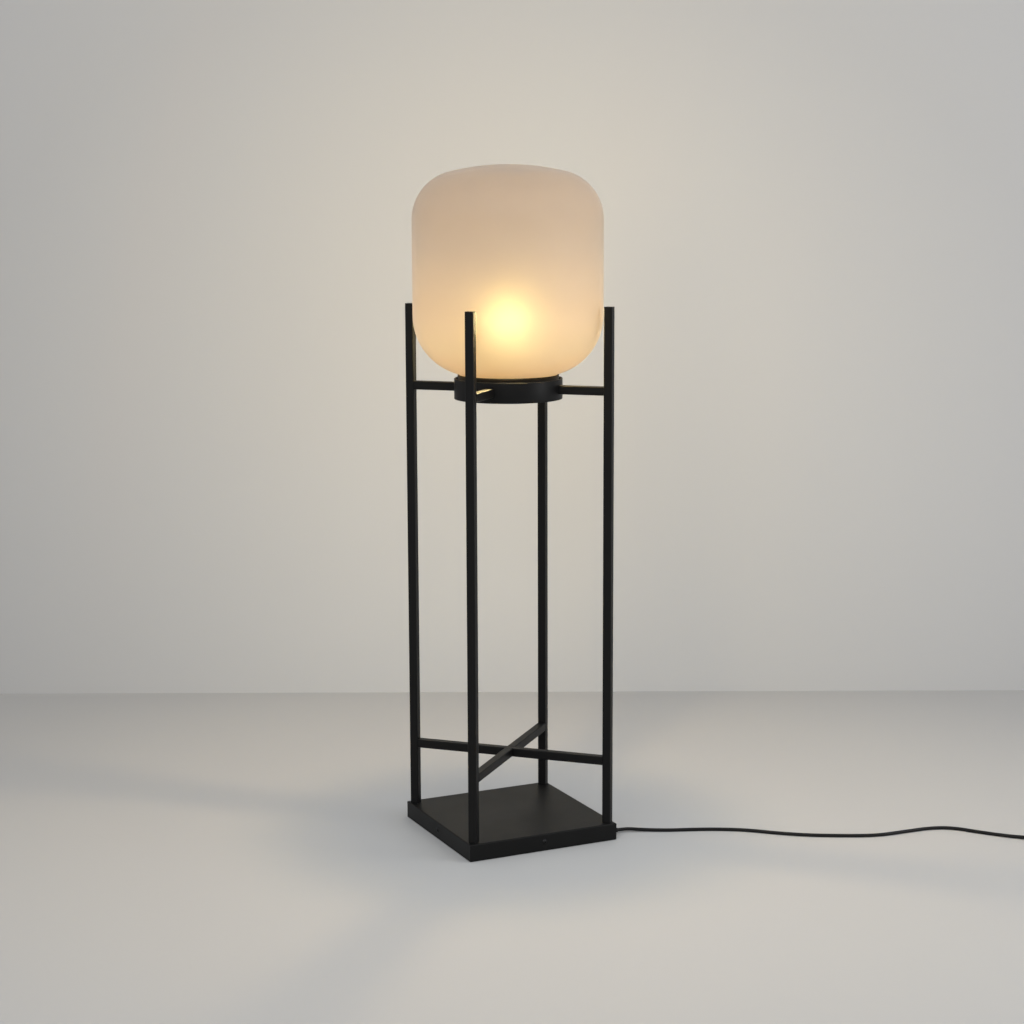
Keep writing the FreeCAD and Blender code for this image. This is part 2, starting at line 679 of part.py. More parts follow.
# ------------------------------------------------------------------ mains cord on the floor
FLOOR_Z = CORD / 2
SWITCH_IN = V(850.0, -494.0, SWITCH_AXIS_Z)
SWITCH_HEADING = -45.0


def heading(degrees):
    return V(math.cos(math.radians(degrees)), math.sin(math.radians(degrees)), 0)


AHEAD = heading(SWITCH_HEADING)
SIDE = heading(SWITCH_HEADING + 90)
SWITCH_CENTRE = SWITCH_IN + AHEAD * (RELIEF + SWITCH_R - 1)
SWITCH_OUT = SWITCH_IN + AHEAD * 2 * (RELIEF + SWITCH_R - 1)
LINK = 29.0                                            # from the switch to the coil's own end
COIL_CENTRE = SWITCH_OUT + AHEAD * (LINK + CORD) + SIDE * COIL_R

CORD_ROUTE = [
    CORD_EXIT,
    V(190, -116, 6.4),
    V(215, -127, 3.9),
    V(258, -150, FLOOR_Z),
    V(310, -169, FLOOR_Z),
    V(354, -189, FLOOR_Z),
    V(398, -217, FLOOR_Z),
    V(436, -255, FLOOR_Z),
    V(483, -292, FLOOR_Z),
    V(540, -323, FLOOR_Z),
    V(596, -349, FLOOR_Z),
    V(655, -353, FLOOR_Z),
    V(712, -355, FLOOR_Z),
    V(753, -372, FLOOR_Z),
    V(784, -418, FLOOR_Z),
    V(823, -467, FLOOR_Z),
    SWITCH_IN,
]


def link_route():
    """From the switch's far end down to the coil's lower layer."""
    start = V(SWITCH_OUT.x, SWITCH_OUT.y, SWITCH_AXIS_Z)
    drop = COIL_Z - SWITCH_AXIS_Z
    return [start, start + AHEAD * 9, start + AHEAD * 20 + V(0, 0, drop), start + AHEAD * LINK + V(0, 0, drop)]


def coil_ends():
    """Start and end of the coil's turns: opposite points of the outermost turn."""
    start = COIL_CENTRE - SIDE * COIL_R
    end = COIL_CENTRE + SIDE * COIL_R
    return V(start.x, start.y, COIL_Z), V(end.x, end.y, COIL_Z + COIL_LAYER)


def coil_stops():
    """Distances from the coil's centre at every half turn, inwards below and outwards above."""
    inwards = [COIL_R - COIL_PITCH / 2 * i for i in range(2 * COIL_TURNS + 1)]
    return inwards + inwards[::-1]


def coil_path():
    """Spiral in, climb a layer in the half turn that reverses it, and spiral out above."""
    start, _ = coil_ends()
    edges = [Part.LineSegment(start - AHEAD * CORD, start).toShape()]
    place, sense = start, 1
    for i, reach in enumerate(coil_stops()[1:]):
        z = COIL_Z if i < 2 * COIL_TURNS else COIL_Z + COIL_LAYER
        end = COIL_CENTRE + SIDE * (reach * sense)
        end.z = z
        edges += biarc(place, AHEAD * sense, end, AHEAD * -sense)
        place, sense = end, -sense
    edges.append(Part.LineSegment(place, place + AHEAD * (CORD * sense)).toShape())
    return Part.Wire(edges)


def coil_gap(wire):
    """Least gap of the coil to itself, from points that are more than a half turn apart."""
    points = wire.discretize(Distance=2.0)
    skip = int(math.pi * min(coil_stops()) / 2.0)
    least = min((points[i] - points[j]).Length
                for i in range(len(points)) for j in range(i + skip, len(points)))
    print("coil least gap to itself", round(least - CORD, 2), "length", round(wire.Length, 1))


def cord_coil():
    wire = coil_path()
    coil_gap(wire)
    start, _ = coil_ends()
    return pipe(wire, start - AHEAD * CORD, AHEAD, CORD, "cord_coil")


def tail_route():
    """From the coil's end, curving away to the plug that lies beside it, at the plug's height."""
    _, end = coil_ends()
    leaving = SWITCH_HEADING + 180
    place = end + heading(leaving) * CORD
    rise = (PLUG_AXIS_Z - end.z) / 2
    points = [place]
    for turn, up in ((0, 0.0), (-20, rise), (-40, rise), (-57, 0.0)):
        place = place + heading(leaving + turn) * 16 + V(0, 0, up)
        points.append(place)
    return points, leaving - 57


def coil_tie():
    """A flat strap round the bundle of turns, on the side where both layers run evenly."""
    gap, thick, width = 0.1, 0.9, 8.0
    shift = COIL_PITCH / 4                             # the half turns' centres are this far off
    inner_turn = min(coil_stops()) + shift - CORD / 2
    inner = math.sqrt(inner_turn ** 2 - (width / 2 + shift) ** 2) - gap
    outer = COIL_R - shift - COIL_PITCH / 4 + CORD / 2 + gap
    low, high = COIL_Z - CORD / 2 - gap, COIL_Z + COIL_LAYER + CORD / 2 + gap
    strap = block(inner - thick, outer + thick, -width / 2, width / 2, low - thick, high + thick)
    strap = strap.cut(block(inner, outer, -width, width, low, high))
    return placed(strap, V(COIL_CENTRE.x, COIL_CENTRE.y, 0), SWITCH_HEADING + 180)


# ------------------------------------------------------------------ foot switch
def relief_slots():
    """The two round-topped slots, open below, that the strain reliefs sit in."""
    radius, inside = RELIEF_R + SLIP, SWITCH_R - 6
    slot = Part.makeCylinder(radius, 10, V(inside, 0, SWITCH_AXIS_Z), V(1, 0, 0))
    slot = slot.fuse(block(inside, inside + 10, -radius, radius, -1, SWITCH_AXIS_Z))
    return [slot, placed(slot, V(0, 0, 0), 180)]


def switch_base():
    """A flat round foot with a low rim that locates the cover."""
    rim_out, rim_in = SWITCH_R - 2.2, SWITCH_R - 4.0
    base = turned([(0, 0), (SWITCH_R - 1, 0), (SWITCH_R, 1), (SWITCH_R, SWITCH_PARTING),
                   (rim_out, SWITCH_PARTING), (rim_out, SWITCH_PARTING + 2), (rim_in, SWITCH_PARTING + 2),
                   (rim_in, SWITCH_PARTING), (0, SWITCH_PARTING)])
    return base.cut(relief_slots())


def switch_cover():
    """A low dome with a round hole for the button and a slot at each cord entry."""
    wall, hole, shoulder = 2.0, BUTTON_R + 0.3, 17.0
    inside = SWITCH_R - wall
    points = [(inside, SWITCH_PARTING), (SWITCH_R, SWITCH_PARTING), (SWITCH_R, 9.0),
              (shoulder, SWITCH_TOP), (hole, SWITCH_TOP), (hole, SWITCH_TOP - wall),
              (shoulder, SWITCH_TOP - wall), (inside, 9.0)]
    cover = turned(points, {2: (26.6, 16.4), 6: (25.2, 15.0)})
    return cover.cut(relief_slots())


def switch_button():
    """A domed button with a retaining flange under the cover, hollow where it rides its guide."""
    low = SWITCH_TOP - 8.0
    top = SWITCH_TOP + 5.5
    edge, drop = 10.8, 1.0                             # where the crown ends, and how far it falls there
    crown = (edge ** 2 + drop ** 2) / (2 * drop)
    half_way = math.asin(edge / crown) / 2
    outline = [(0, low), (15.5, low), (15.5, low + 2), (BUTTON_R, low + 2), (BUTTON_R, top - 3),
               (edge, top - drop), (0, top)]
    crown_middle = (crown * math.sin(half_way), top - crown + crown * math.cos(half_way))
    button = turned(outline, {4: (12.3, top - 1.6), 5: crown_middle})
    return button.cut(rod(4.6, low - 1, low + 8))


def switch_block():
    """The contact block on the foot, with the round guide that the button slides on."""
    low = SWITCH_PARTING
    return block(-11, 11, -8, 8, low, low + 4.5).fuse(rod(4.3, low + 4.5, low + 12))


def switch_reliefs():
    """Tapered strain reliefs, one at each end of the switch, with a collar inside the cover."""
    collar = SWITCH_R - 6 + 2
    reach = SWITCH_R - 1 + RELIEF
    relief = turned([(0, collar), (RELIEF_R, collar), (RELIEF_R, SWITCH_R + 2), (4.0, reach), (0, reach)])
    relief.rotate(V(0, 0, 0), V(0, 1, 0), 90)
    relief.translate(V(0, 0, SWITCH_AXIS_Z))
    return [relief, placed(relief, V(0, 0, 0), 180)]


def at_switch(shape):
    return placed(shape, V(SWITCH_CENTRE.x, SWITCH_CENTRE.y, 0), SWITCH_HEADING)


# ------------------------------------------------------------------ plug
def oval(x, width, height):
    """A flat-sided oval across +X: two straight flats joined by half rounds."""
    flat = (width - height) / 2
    r = height / 2
    top = Part.LineSegment(V(x, -flat, r), V(x, flat, r)).toShape()
    right = Part.Arc(V(x, flat, r), V(x, flat + r, 0), V(x, flat, -r)).toShape()
    low = Part.LineSegment(V(x, flat, -r), V(x, -flat, -r)).toShape()
    left = Part.Arc(V(x, -flat, -r), V(x, -flat - r, 0), V(x, -flat, r)).toShape()
    return Part.Wire([top, right, low, left])


def plug_body():
    """A moulded two-pin plug: ribbed tail, waisted grip and a full oval face."""
    start, end = PLUG_RELIEF, PLUG_RELIEF + PLUG_BODY
    grip = Part.makeLoft([oval(start, 15, 12), oval(start + 8, 24, 19), oval(start + 20, 27, 21),
                          oval(start + 31, 35, 25.6)], True)
    face = Part.makeLoft([oval(start + 31, 35, 25.6), oval(end, 35, 25.6)], True)
    tail = turned([(0, 0), (4.1, 0), (6.0, start), (0, start)])
    tail.rotate(V(0, 0, 0), V(0, 1, 0), 90)
    return tail.multiFuse([grip, face]).removeSplitter()


def plug_pins():
    """Two round pins with rounded ends, rooted in the plug's face."""
    root = PLUG_RELIEF + PLUG_BODY
    pin = turned([(0, 0), (PIN_R, 0), (PIN_R, PIN_LENGTH - 1.2), (1.4, PIN_LENGTH), (0, PIN_LENGTH)])
    pin.rotate(V(0, 0, 0), V(0, 1, 0), 90)
    return [pin.translated(V(root, side * PIN_SPACING / 2, 0)) for side in (-1, 1)]


# ------------------------------------------------------------------ the whole lamp
def make_base():
    save("base_cover", base_cover())
    save("base_pan", base_pan())
    save("ballast_plate", ballast_plate())
    save("skirt_screws", *skirt_screws())
    save("clinch_nuts", *clinch_nuts())
    save("foot_pads", *foot_pads())


def make_frame():
    for name in CORNERS:
        save("post_" + name, post(name))
        save("arm_" + name, arm(name))
    save("post_end_caps", *end_caps())
    save("post_foot_plugs", *foot_plugs())
    save("post_bolts", *post_bolts())
    save("post_washers", *post_washers())
    save("brace_long", brace_long())
    save("brace_front_left", brace_half("front_left"))
    save("brace_back_right", brace_half("back_right"))


def make_ring_and_holder():
    save("ring_band", ring_band())
    save("bridge_bar", bridge_bar())
    save("seat_cup", seat_cup())
    save("seat_gasket", seat_gasket())
    save("nipples", *nipples())
    save("nipple_nuts", *nipple_nuts())
    save("holder_washer", holder_washer())
    save("lampholder_cap", lampholder_cap())
    save("lampholder_core", lampholder_core())
    save("lampholder_sleeve", lampholder_sleeve())
    save("screw_shell", screw_shell())
    save("centre_contact", centre_contact())


def make_shade_and_bulb():
    save("glass_shade", glass_shade())
    save("bulb_glass", bulb_glass())
    save("bulb_cap", bulb_cap())
    save("bulb_insulator", bulb_insulator())
    save("bulb_tip", bulb_tip())
    save("bulb_stem", bulb_stem())
    save("bulb_filaments", bulb_filaments())


def make_wiring():
    save("inlet_flex", inlet_flex())
    save("cord_grommet", cord_grommet())
    save("cord_clamp", cord_clamp())
    save("clamp_screws", *clamp_screws())
    save("terminal_block", terminal_block())
    save("terminal_screws", *terminal_screws())
    save("inner_lead", inner_lead())


def make_cord():
    tail, plug_heading = tail_route()
    save("cord_to_switch", tube_along(CORD_ROUTE, CORD, "cord_to_switch"))
    save("cord_to_coil", tube_along(link_route(), CORD, "cord_to_coil"))
    save("cord_coil", cord_coil())
    save("cord_to_plug", tube_along(tail, CORD, "cord_to_plug"))
    save("coil_tie", coil_tie())
    save("plug_body", placed(plug_body(), tail[-1], plug_heading))
    save("plug_pins", *[placed(pin, tail[-1], plug_heading) for pin in plug_pins()])


def make_switch():
    save("switch_base", at_switch(switch_base()))
    save("switch_cover", at_switch(switch_cover()))
    save("switch_button", at_switch(switch_button()))
    save("switch_block", at_switch(switch_block()))
    save("switch_reliefs", *[at_switch(relief) for relief in switch_reliefs()])


os.makedirs("parts", exist_ok=True)
make_base()
make_frame()
make_ring_and_holder()
make_shade_and_bulb()
make_wiring()
make_cord()
make_switch()
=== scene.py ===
# %% [markdown]
# # A lantern floor lamp
# The lamp was first drawn as an engineering model: square tube, a weighted base, a ring and a glass shade,
# each piece at its real size and in its real place. This lesson loads that model as a fixed frame and gives
# it its looks. Flat and square pieces keep their engineering mesh and only get a finish. Round pieces that
# catch the light, such as the glass, the ring and the cord, are made again here with smoother surfaces.

# %% Load the frame
import json
import math

import bmesh
import bpy
from mathutils import Matrix, Vector


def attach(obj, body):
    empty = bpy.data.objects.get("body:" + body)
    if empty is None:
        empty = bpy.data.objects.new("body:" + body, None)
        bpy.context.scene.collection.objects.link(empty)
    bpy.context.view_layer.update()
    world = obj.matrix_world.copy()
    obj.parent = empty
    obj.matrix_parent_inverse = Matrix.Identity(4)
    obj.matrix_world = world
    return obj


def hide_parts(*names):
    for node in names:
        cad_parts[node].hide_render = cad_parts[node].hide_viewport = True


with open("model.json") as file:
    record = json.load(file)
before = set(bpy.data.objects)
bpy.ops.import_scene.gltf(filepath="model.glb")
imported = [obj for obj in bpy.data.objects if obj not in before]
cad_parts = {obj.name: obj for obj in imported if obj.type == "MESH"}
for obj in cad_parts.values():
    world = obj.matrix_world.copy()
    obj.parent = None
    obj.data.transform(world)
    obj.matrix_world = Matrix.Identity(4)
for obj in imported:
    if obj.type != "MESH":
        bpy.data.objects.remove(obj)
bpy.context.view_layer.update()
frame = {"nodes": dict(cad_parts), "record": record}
MM = 0.001

# %% [markdown]
# ## The camera
# The photograph was taken with a longish lens, from the lamp's left, at about the height of its shade, and
# tilted a little down. A camera looks along its own -Z, so it is first tipped up from the floor, then turned
# to its heading, and last rolled by the fifth of a degree that the photograph leans.

# %% Camera
CAMERA_AT = Vector((-1.59986, -3.41595, 1.22591))
HEADING = 25.185          # degrees to the right of +Y
PITCH_DOWN = 9.249
ROLL = -0.208
LENS = 72.16              # millimetres, on a 36 mm wide sensor

camera_data = bpy.data.cameras.new("camera")
camera_data.lens = LENS
camera_data.sensor_width = 36.0
camera_data.clip_end = 60.0
camera = bpy.data.objects.new("camera", camera_data)
bpy.context.scene.collection.objects.link(camera)
camera.matrix_world = (
    Matrix.Translation(CAMERA_AT)
    @ Matrix.Rotation(math.radians(-HEADING), 4, "Z")
    @ Matrix.Rotation(math.radians(90 - PITCH_DOWN), 4, "X")
    @ Matrix.Rotation(math.radians(ROLL), 4, "Z")
)
bpy.context.scene.camera = camera
bpy.context.scene.view_settings.view_transform = "Standard"
print("camera at", [round(x, 3) for x in CAMERA_AT])

# %% [markdown]
# ## Small helpers for materials
# A finish is a small network of nodes around one Principled shader. Three helpers keep the recipes short:
# one makes the material, one adds a node and fills its sockets, and one links two sockets. Patterns read
# Object coordinates. All the lamp's meshes are in metres, so a noise of scale 400 has grains of 2.5 mm.

# %% Material helpers
def new_material(name):
    material = bpy.data.materials.new(name)
    material.use_nodes = True
    tree = material.node_tree
    shader = tree.nodes["Principled BSDF"]
    place = tree.nodes.new("ShaderNodeTexCoord")
    return material, tree, shader, place.outputs["Object"]


def add(tree, kind, links=None, **values):
    """A node of a kind, with named settings, socket values and links into its sockets."""
    node = tree.nodes.new("ShaderNode" + kind)
    for name, value in values.items():
        if name in node.inputs.keys():
            node.inputs[name].default_value = value
        else:
            setattr(node, name, value)
    for name, output in (links or {}).items():
        tree.links.new(output, node.inputs[name])
    return node


def noise(tree, place, scale, detail=2.0, roughness=0.5):
    node = add(tree, "TexNoise", {"Vector": place}, Scale=scale, Detail=detail, Roughness=roughness)
    return node.outputs[0]


def ramp(tree, value, stops):
    """Colours along a value: stops are (position, (r, g, b))."""
    node = add(tree, "ValToRGB", {"Fac": value})
    elements = node.color_ramp.elements
    while len(elements) < len(stops):
        elements.new(0.5)
    for element, (position, colour) in zip(elements, stops):
        element.position = position
        element.color = (*colour, 1.0)
    return node.outputs["Color"]


def spread(tree, value, low, high, source_low=0.3, source_high=0.7):
    """Noise, which mostly stays between 0.3 and 0.7, stretched to run from low to high."""
    node = add(tree, "MapRange", {"Value": value})
    numbers = {"From Min": source_low, "From Max": source_high, "To Min": low, "To Max": high}
    for name, number in numbers.items():
        node.inputs[name].default_value = number
    return node.outputs["Result"]


def bump(tree, shader, height, strength, distance):
    node = add(tree, "Bump", {"Height": height}, Strength=strength, Distance=distance)
    tree.links.new(node.outputs["Normal"], shader.inputs["Normal"])


# %% [markdown]
# ## The black powder coat
# The whole frame is steel tube with a satin powder coat. Powder melts into a skin with a very fine orange
# peel, so the gloss breaks up softly. Two noises do it: a fine one for the peel, and a broad one that lets
# the gloss and the black drift a little along each tube, as they do on real work.

# %% Powder coat
def powder_coat():
    material, tree, shader, place = new_material("black_powder_coat")
    broad = noise(tree, place, 9.0, 3.0)
    colour = ramp(tree, broad, [(0.3, (0.0042, 0.0042, 0.0042)), (0.7, (0.0058, 0.0058, 0.0057))])
    tree.links.new(colour, shader.inputs["Base Color"])
    tree.links.new(spread(tree, broad, 0.44, 0.50), shader.inputs["Roughness"])
    bump(tree, shader, noise(tree, place, 900.0, 2.0), 0.10, 0.0002)
    shader.inputs["Specular IOR Level"].default_value = 0.15
    return material


# %% [markdown]
# ## Plain metals
# Screws, nuts and nipples are zinc-plated, the bulb's cap is rolled aluminium, and the contacts are brass.
# Each is a metal whose roughness wanders in streaks. The streaks are noise squeezed along one axis.

# %% Metals
def metal(name, colour, roughness, streak=(60.0, 60.0, 600.0), grain=0.06):
    material, tree, shader, place = new_material(name)
    shader.inputs["Metallic"].default_value = 1.0
    squeezed = add(tree, "Mapping", {"Vector": place}, Scale=streak).outputs["Vector"]
    lines = noise(tree, squeezed, 1.0, 3.0)
    darker = tuple(0.82 * c for c in colour)
    tree.links.new(ramp(tree, lines, [(0.3, darker), (0.7, colour)]), shader.inputs["Base Color"])
    tree.links.new(spread(tree, lines, roughness - grain, roughness + grain), shader.inputs["Roughness"])
    bump(tree, shader, lines, 0.05, 0.0002)
    return material


# %% [markdown]
# ## Plastics and rubber
# Moulded plastic has a fine spark-eroded grain, and flexible cord has a smoother skin with faint ripples.
# Both come from one recipe with different numbers.

# %% Plastics and rubber
def moulded(name, colour, roughness, grain_scale, grain_depth, drift=0.06, gloss=0.4):
    material, tree, shader, place = new_material(name)
    broad = noise(tree, place, 30.0, 3.0)
    lighter = tuple(1.25 * c for c in colour)
    tree.links.new(ramp(tree, broad, [(0.3, colour), (0.7, lighter)]), shader.inputs["Base Color"])
    tree.links.new(spread(tree, broad, roughness - drift, roughness + drift), shader.inputs["Roughness"])
    bump(tree, shader, noise(tree, place, grain_scale, 2.0), grain_depth, 0.0003)
    shader.inputs["Specular IOR Level"].default_value = gloss
    return material


# %% [markdown]
# ## Frosted glass that is lit from inside
# The shade is blown glass with a satin, acid-etched face. A rough transmission shows the bulb as a soft
# bright spot and blurs what lies behind. Light that has bounced about inside leaves the glass everywhere,
# more of it low down, near the bulb, so a faint warm emission follows the height. It is set by the height
# alone, and so it looks the same from every side.

# %% Glass
GLOW_LOW, GLOW_HIGH = 0.87, 1.25       # heights of the neck and of the top, in metres


def frosted_glass():
    material, tree, shader, place = new_material("opal_glass")
    height = add(tree, "SeparateXYZ", {"Vector": place}).outputs["Z"]
    along = spread(tree, height, 0.0, 1.0, GLOW_LOW, GLOW_HIGH)
    glow = ramp(tree, along, [
        (0.0, (0.180, 0.105, 0.035)), (0.14, (0.180, 0.130, 0.060)), (0.33, (0.135, 0.092, 0.045)),
        (0.62, (0.078, 0.062, 0.045)), (1.0, (0.052, 0.038, 0.030))])
    tree.links.new(glow, shader.inputs["Emission Color"])
    shader.inputs["Emission Strength"].default_value = 1.0
    cloud = spread(tree, noise(tree, place, 9.0, 3.0), -0.06, 0.06)
    clouded_height_for_painted_shade = add(tree, "Math", {0: along, 1: cloud}, operation="ADD").outputs[0]
    # The base colour darkens towards the top: painted shade on the crown, which the bulb lights less. The
    # cloud noise adds a random tone.
    colour = ramp(tree, clouded_height_for_painted_shade, [
        (0.0, (0.78, 0.68, 0.54)), (0.45, (0.77, 0.67, 0.54)), (0.85, (0.68, 0.58, 0.46)),
        (1.0, (0.62, 0.53, 0.42))])
    tree.links.new(colour, shader.inputs["Base Color"])
    shader.inputs["Transmission Weight"].default_value = 0.68
    shader.inputs["Roughness"].default_value = 0.62
    shader.inputs["IOR"].default_value = 1.45
    shader.inputs["Sheen Weight"].default_value = 0.2
    shader.inputs["Sheen Roughness"].default_value = 0.4
    bump(tree, shader, noise(tree, place, 900.0, 2.0), 0.06, 0.0002)
    return material


def clear_glass():
    material, tree, shader, place = new_material("clear_glass")
    shader.inputs["Transmission Weight"].default_value = 1.0
    shader.inputs["IOR"].default_value = 1.45
    tint = ramp(tree, noise(tree, place, 20.0), [(0.3, (0.96, 0.97, 0.96)), (0.7, (1.0, 1.0, 1.0))])
    tree.links.new(tint, shader.inputs["Base Color"])
    tree.links.new(spread(tree, noise(tree, place, 80.0), 0.02, 0.06), shader.inputs["Roughness"])
    return material


def glowing(name, strength, stops, heights=None):
    """A surface that gives light; its colours follow the height between two heights, or else a noise."""
    material, tree, shader, place = new_material(name)
    along = noise(tree, place, 60.0)
    if heights:
        along = spread(tree, add(tree, "SeparateXYZ", {"Vector": place}).outputs["Z"], 0.0, 1.0, *heights)
    tree.links.new(ramp(tree, along, stops), shader.inputs["Emission Color"])
    shader.inputs["Emission Strength"].default_value = strength
    shader.inputs["Base Color"].default_value = (0.9, 0.88, 0.82, 1.0)
    shader.inputs["Roughness"].default_value = 0.35
    return material


# %% [markdown]
# ## Give every engineering piece its finish
# The record says which slot each piece takes, so one table from slot to recipe dresses them all at once.

# %% Dress the frame
FINISHES = {
    "black_powder_coat": powder_coat(),
    "black_screws": metal("black_screws", (0.030, 0.030, 0.031), 0.42),
    "bare_steel": metal("bare_steel", (0.40, 0.40, 0.41), 0.45),
    "zinc_plated_steel": metal("zinc_plated_steel", (0.60, 0.60, 0.62), 0.32),
    "plated_shell": metal("plated_shell", (0.74, 0.74, 0.75), 0.24),
    "brass_contact": metal("brass_contact", (0.72, 0.50, 0.22), 0.30),
    "nickel_pins": metal("nickel_pins", (0.70, 0.68, 0.64), 0.18, streak=(400.0, 400.0, 60.0)),
    "soft_pad": moulded("soft_pad", (0.022, 0.022, 0.022), 0.75, 500.0, 0.3),
    "black_thermoplastic": moulded("black_thermoplastic", (0.012, 0.012, 0.0125), 0.42, 1400.0, 0.16),
    "black_button": moulded("black_button", (0.014, 0.014, 0.0145), 0.30, 900.0, 0.05),
    "white_insulator": moulded("white_insulator", (0.62, 0.61, 0.57), 0.55, 900.0, 0.1),
    "black_glass_insulator": moulded("black_glass_insulator", (0.012, 0.012, 0.014), 0.15, 200.0, 0.04),
    "black_flex": moulded("black_flex", (0.0045, 0.0045, 0.0048), 0.46, 260.0, 0.10, gloss=0.2),
    "black_rubber": moulded("black_rubber", (0.007, 0.007, 0.0074), 0.58, 600.0, 0.14, gloss=0.25),
    "grey_sleeving": moulded("grey_sleeving", (0.22, 0.22, 0.23), 0.6, 900.0, 0.1),
    "opal_glass": frosted_glass(),
    "clear_glass": clear_glass(),
    "glowing_filament": glowing("glowing_filament", 30.0, [
        (0.3, (0.94, 0.70, 0.40)), (0.7, (1.0, 0.74, 0.42))]),
}
BULB_GLOW = (0.918, 1.0)               # heights of the neck and of the globe's top, in metres
PEARL_BULB = glowing("pearl_bulb", 14.0, [
    (0.0, (0.08, 0.055, 0.02)), (0.3, (0.34, 0.26, 0.06)), (0.47, (0.64, 0.52, 0.16)),
    (0.585, (0.90, 0.80, 0.58)), (0.7, (0.78, 0.62, 0.17)), (1.0, (1.0, 0.72, 0.14))], heights=BULB_GLOW)

for entry in frame["record"]["subparts"]:
    mesh = frame["nodes"][entry["node"]].data
    mesh.materials.clear()
    mesh.materials.append(FINISHES[entry["material_slot"]])
print("dressed", len(frame["nodes"]), "engineering pieces in", len(FINISHES), "finishes")

# %% [markdown]
# ## Helpers for turned pieces
# Glass blowing, spinning and turning all give round pieces, so most new pieces start as a chain of edges in
# the XZ plane: a vertex that runs straight, or is carried round a centre. Spinning the chain about the
# lamp's axis makes the skin. Doubles at the axis are merged before the normals are made to face outwards.

# %% Turning helpers
def start(bm, x, z):
    return bm.verts.new((x * MM, 0.0, z * MM))


def run_to(bm, vertex, x, z):
    """Extrude the end of a chain to a new radius and height, in millimetres."""
    vertex = bmesh.ops.extrude_vert_indiv(bm, verts=[vertex])["verts"][0]
    vertex.co = (x * MM, 0.0, z * MM)
    return vertex


def carry_round(bm, vertex, x, z, degrees, steps):
    """Carry the end of a chain round a centre; positive turns lead from +Z towards +X."""
    turned = bmesh.ops.spin(bm, geom=[vertex], cent=(x * MM, 0.0, z * MM), axis=(0, 1, 0), dvec=(0, 0, 0),
                            angle=math.radians(degrees), steps=steps, use_duplicate=False)
    return [g for g in turned["geom_last"] if isinstance(g, bmesh.types.BMVert)][0]


def draw(bm, outline):
    """A closed chain through a list of points, each a radius and a height."""
    tip = start(bm, *outline[0])
    for x, z in outline[1:]:
        tip = run_to(bm, tip, x, z)
    bmesh.ops.remove_doubles(bm, verts=bm.verts, dist=1e-6)


def spin_about_axis(bm, steps):
    chain = bm.verts[:] + bm.edges[:]
    bmesh.ops.spin(bm, geom=chain, cent=(0, 0, 0), axis=(0, 0, 1), dvec=(0, 0, 0), angle=2 * math.pi,
                   steps=steps, use_merge=True, use_duplicate=False)
    bmesh.ops.remove_doubles(bm, verts=bm.verts, dist=1e-6)
    bmesh.ops.recalc_face_normals(bm, faces=bm.faces)


def keep(bm, name, finish, body, replaced, wall=None, sharp=35.0):
    """Turn a bmesh into a piece that rides on a body and stands for engineering nodes."""
    mesh = bpy.data.meshes.new(name)
    bm.to_mesh(mesh)
    bm.free()
    mesh.polygons.foreach_set("use_smooth", [True] * len(mesh.polygons))
    mesh.set_sharp_from_angle(angle=math.radians(sharp))
    mesh.materials.append(finish)
    piece = bpy.data.objects.new(name, mesh)
    bpy.context.scene.collection.objects.link(piece)
    if wall:
        thickness = piece.modifiers.new("wall", "SOLIDIFY")
        thickness.thickness = wall * MM
        thickness.offset = -1.0
        thickness.use_even_offset = True
    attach(piece, body)
    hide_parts(*replaced)
    print(name, "faces", len(mesh.polygons), "on", body)
    return piece


# %% [markdown]
# ## The glass shade
# The shade is a blown drum: a flat dome, a wide shoulder, an upright side and a rounded belly that draws in
# to an open neck. Every arc leaves the last one without a corner. The chain is drawn from the top down and
# spun, and a Solidify modifier gives the wall its 3.2 mm, inwards.

# %% Glass shade
SHADE_R, SHADE_TOP, GLASS_WALL = 175.0, 1250.5, 3.2
CROWN_R, SHOULDER_R, BELLY_R, FILLET_R = 450.0, 90.0, 110.0, 4.0
BELLY_Z, NECK_R, NECK_FOOT = 977.0, 89.5, 853.2


def glass_shade():
    bm = bmesh.new()
    crown_z = SHADE_TOP - CROWN_R
    tilt = math.asin((SHADE_R - SHOULDER_R) / (CROWN_R - SHOULDER_R))
    shoulder_x = SHADE_R - SHOULDER_R
    shoulder_z = crown_z + (CROWN_R - SHOULDER_R) * math.cos(tilt)
    belly_x = SHADE_R - BELLY_R
    fillet_x = NECK_R + FILLET_R
    slope = math.acos((fillet_x - belly_x) / (BELLY_R + FILLET_R))
    fillet_z = BELLY_Z - (BELLY_R + FILLET_R) * math.sin(slope)
    tip = start(bm, 0.0, SHADE_TOP)
    tip = carry_round(bm, tip, 0.0, crown_z, math.degrees(tilt), 8)
    tip = carry_round(bm, tip, shoulder_x, shoulder_z, 90 - math.degrees(tilt), 20)
    tip = run_to(bm, tip, SHADE_R, BELLY_Z)
    tip = carry_round(bm, tip, belly_x, BELLY_Z, math.degrees(slope), 18)
    tip = carry_round(bm, tip, fillet_x, fillet_z, -math.degrees(slope), 6)
    run_to(bm, tip, NECK_R, NECK_FOOT)
    spin_about_axis(bm, 112)
    return keep(bm, "glass_shade_skin", FINISHES["opal_glass"], "shade", ["glass_shade"],
                wall=GLASS_WALL, sharp=60.0)


shade = glass_shade()

# %% [markdown]
# ## The pearl bulb
# A pearl bulb has etched glass, bright all over its globe and dimmer down its neck. Its outline is the
# classic one: a round globe that a long hollow arc draws down to the neck, where the screw cap holds it.

# %% Bulb
BULB_R, BULB_NECK_R, BULB_FOOT, BULB_THROAT, BULB_CENTRE = 30.0, 12.3, 910.0, 915.0, 966.0


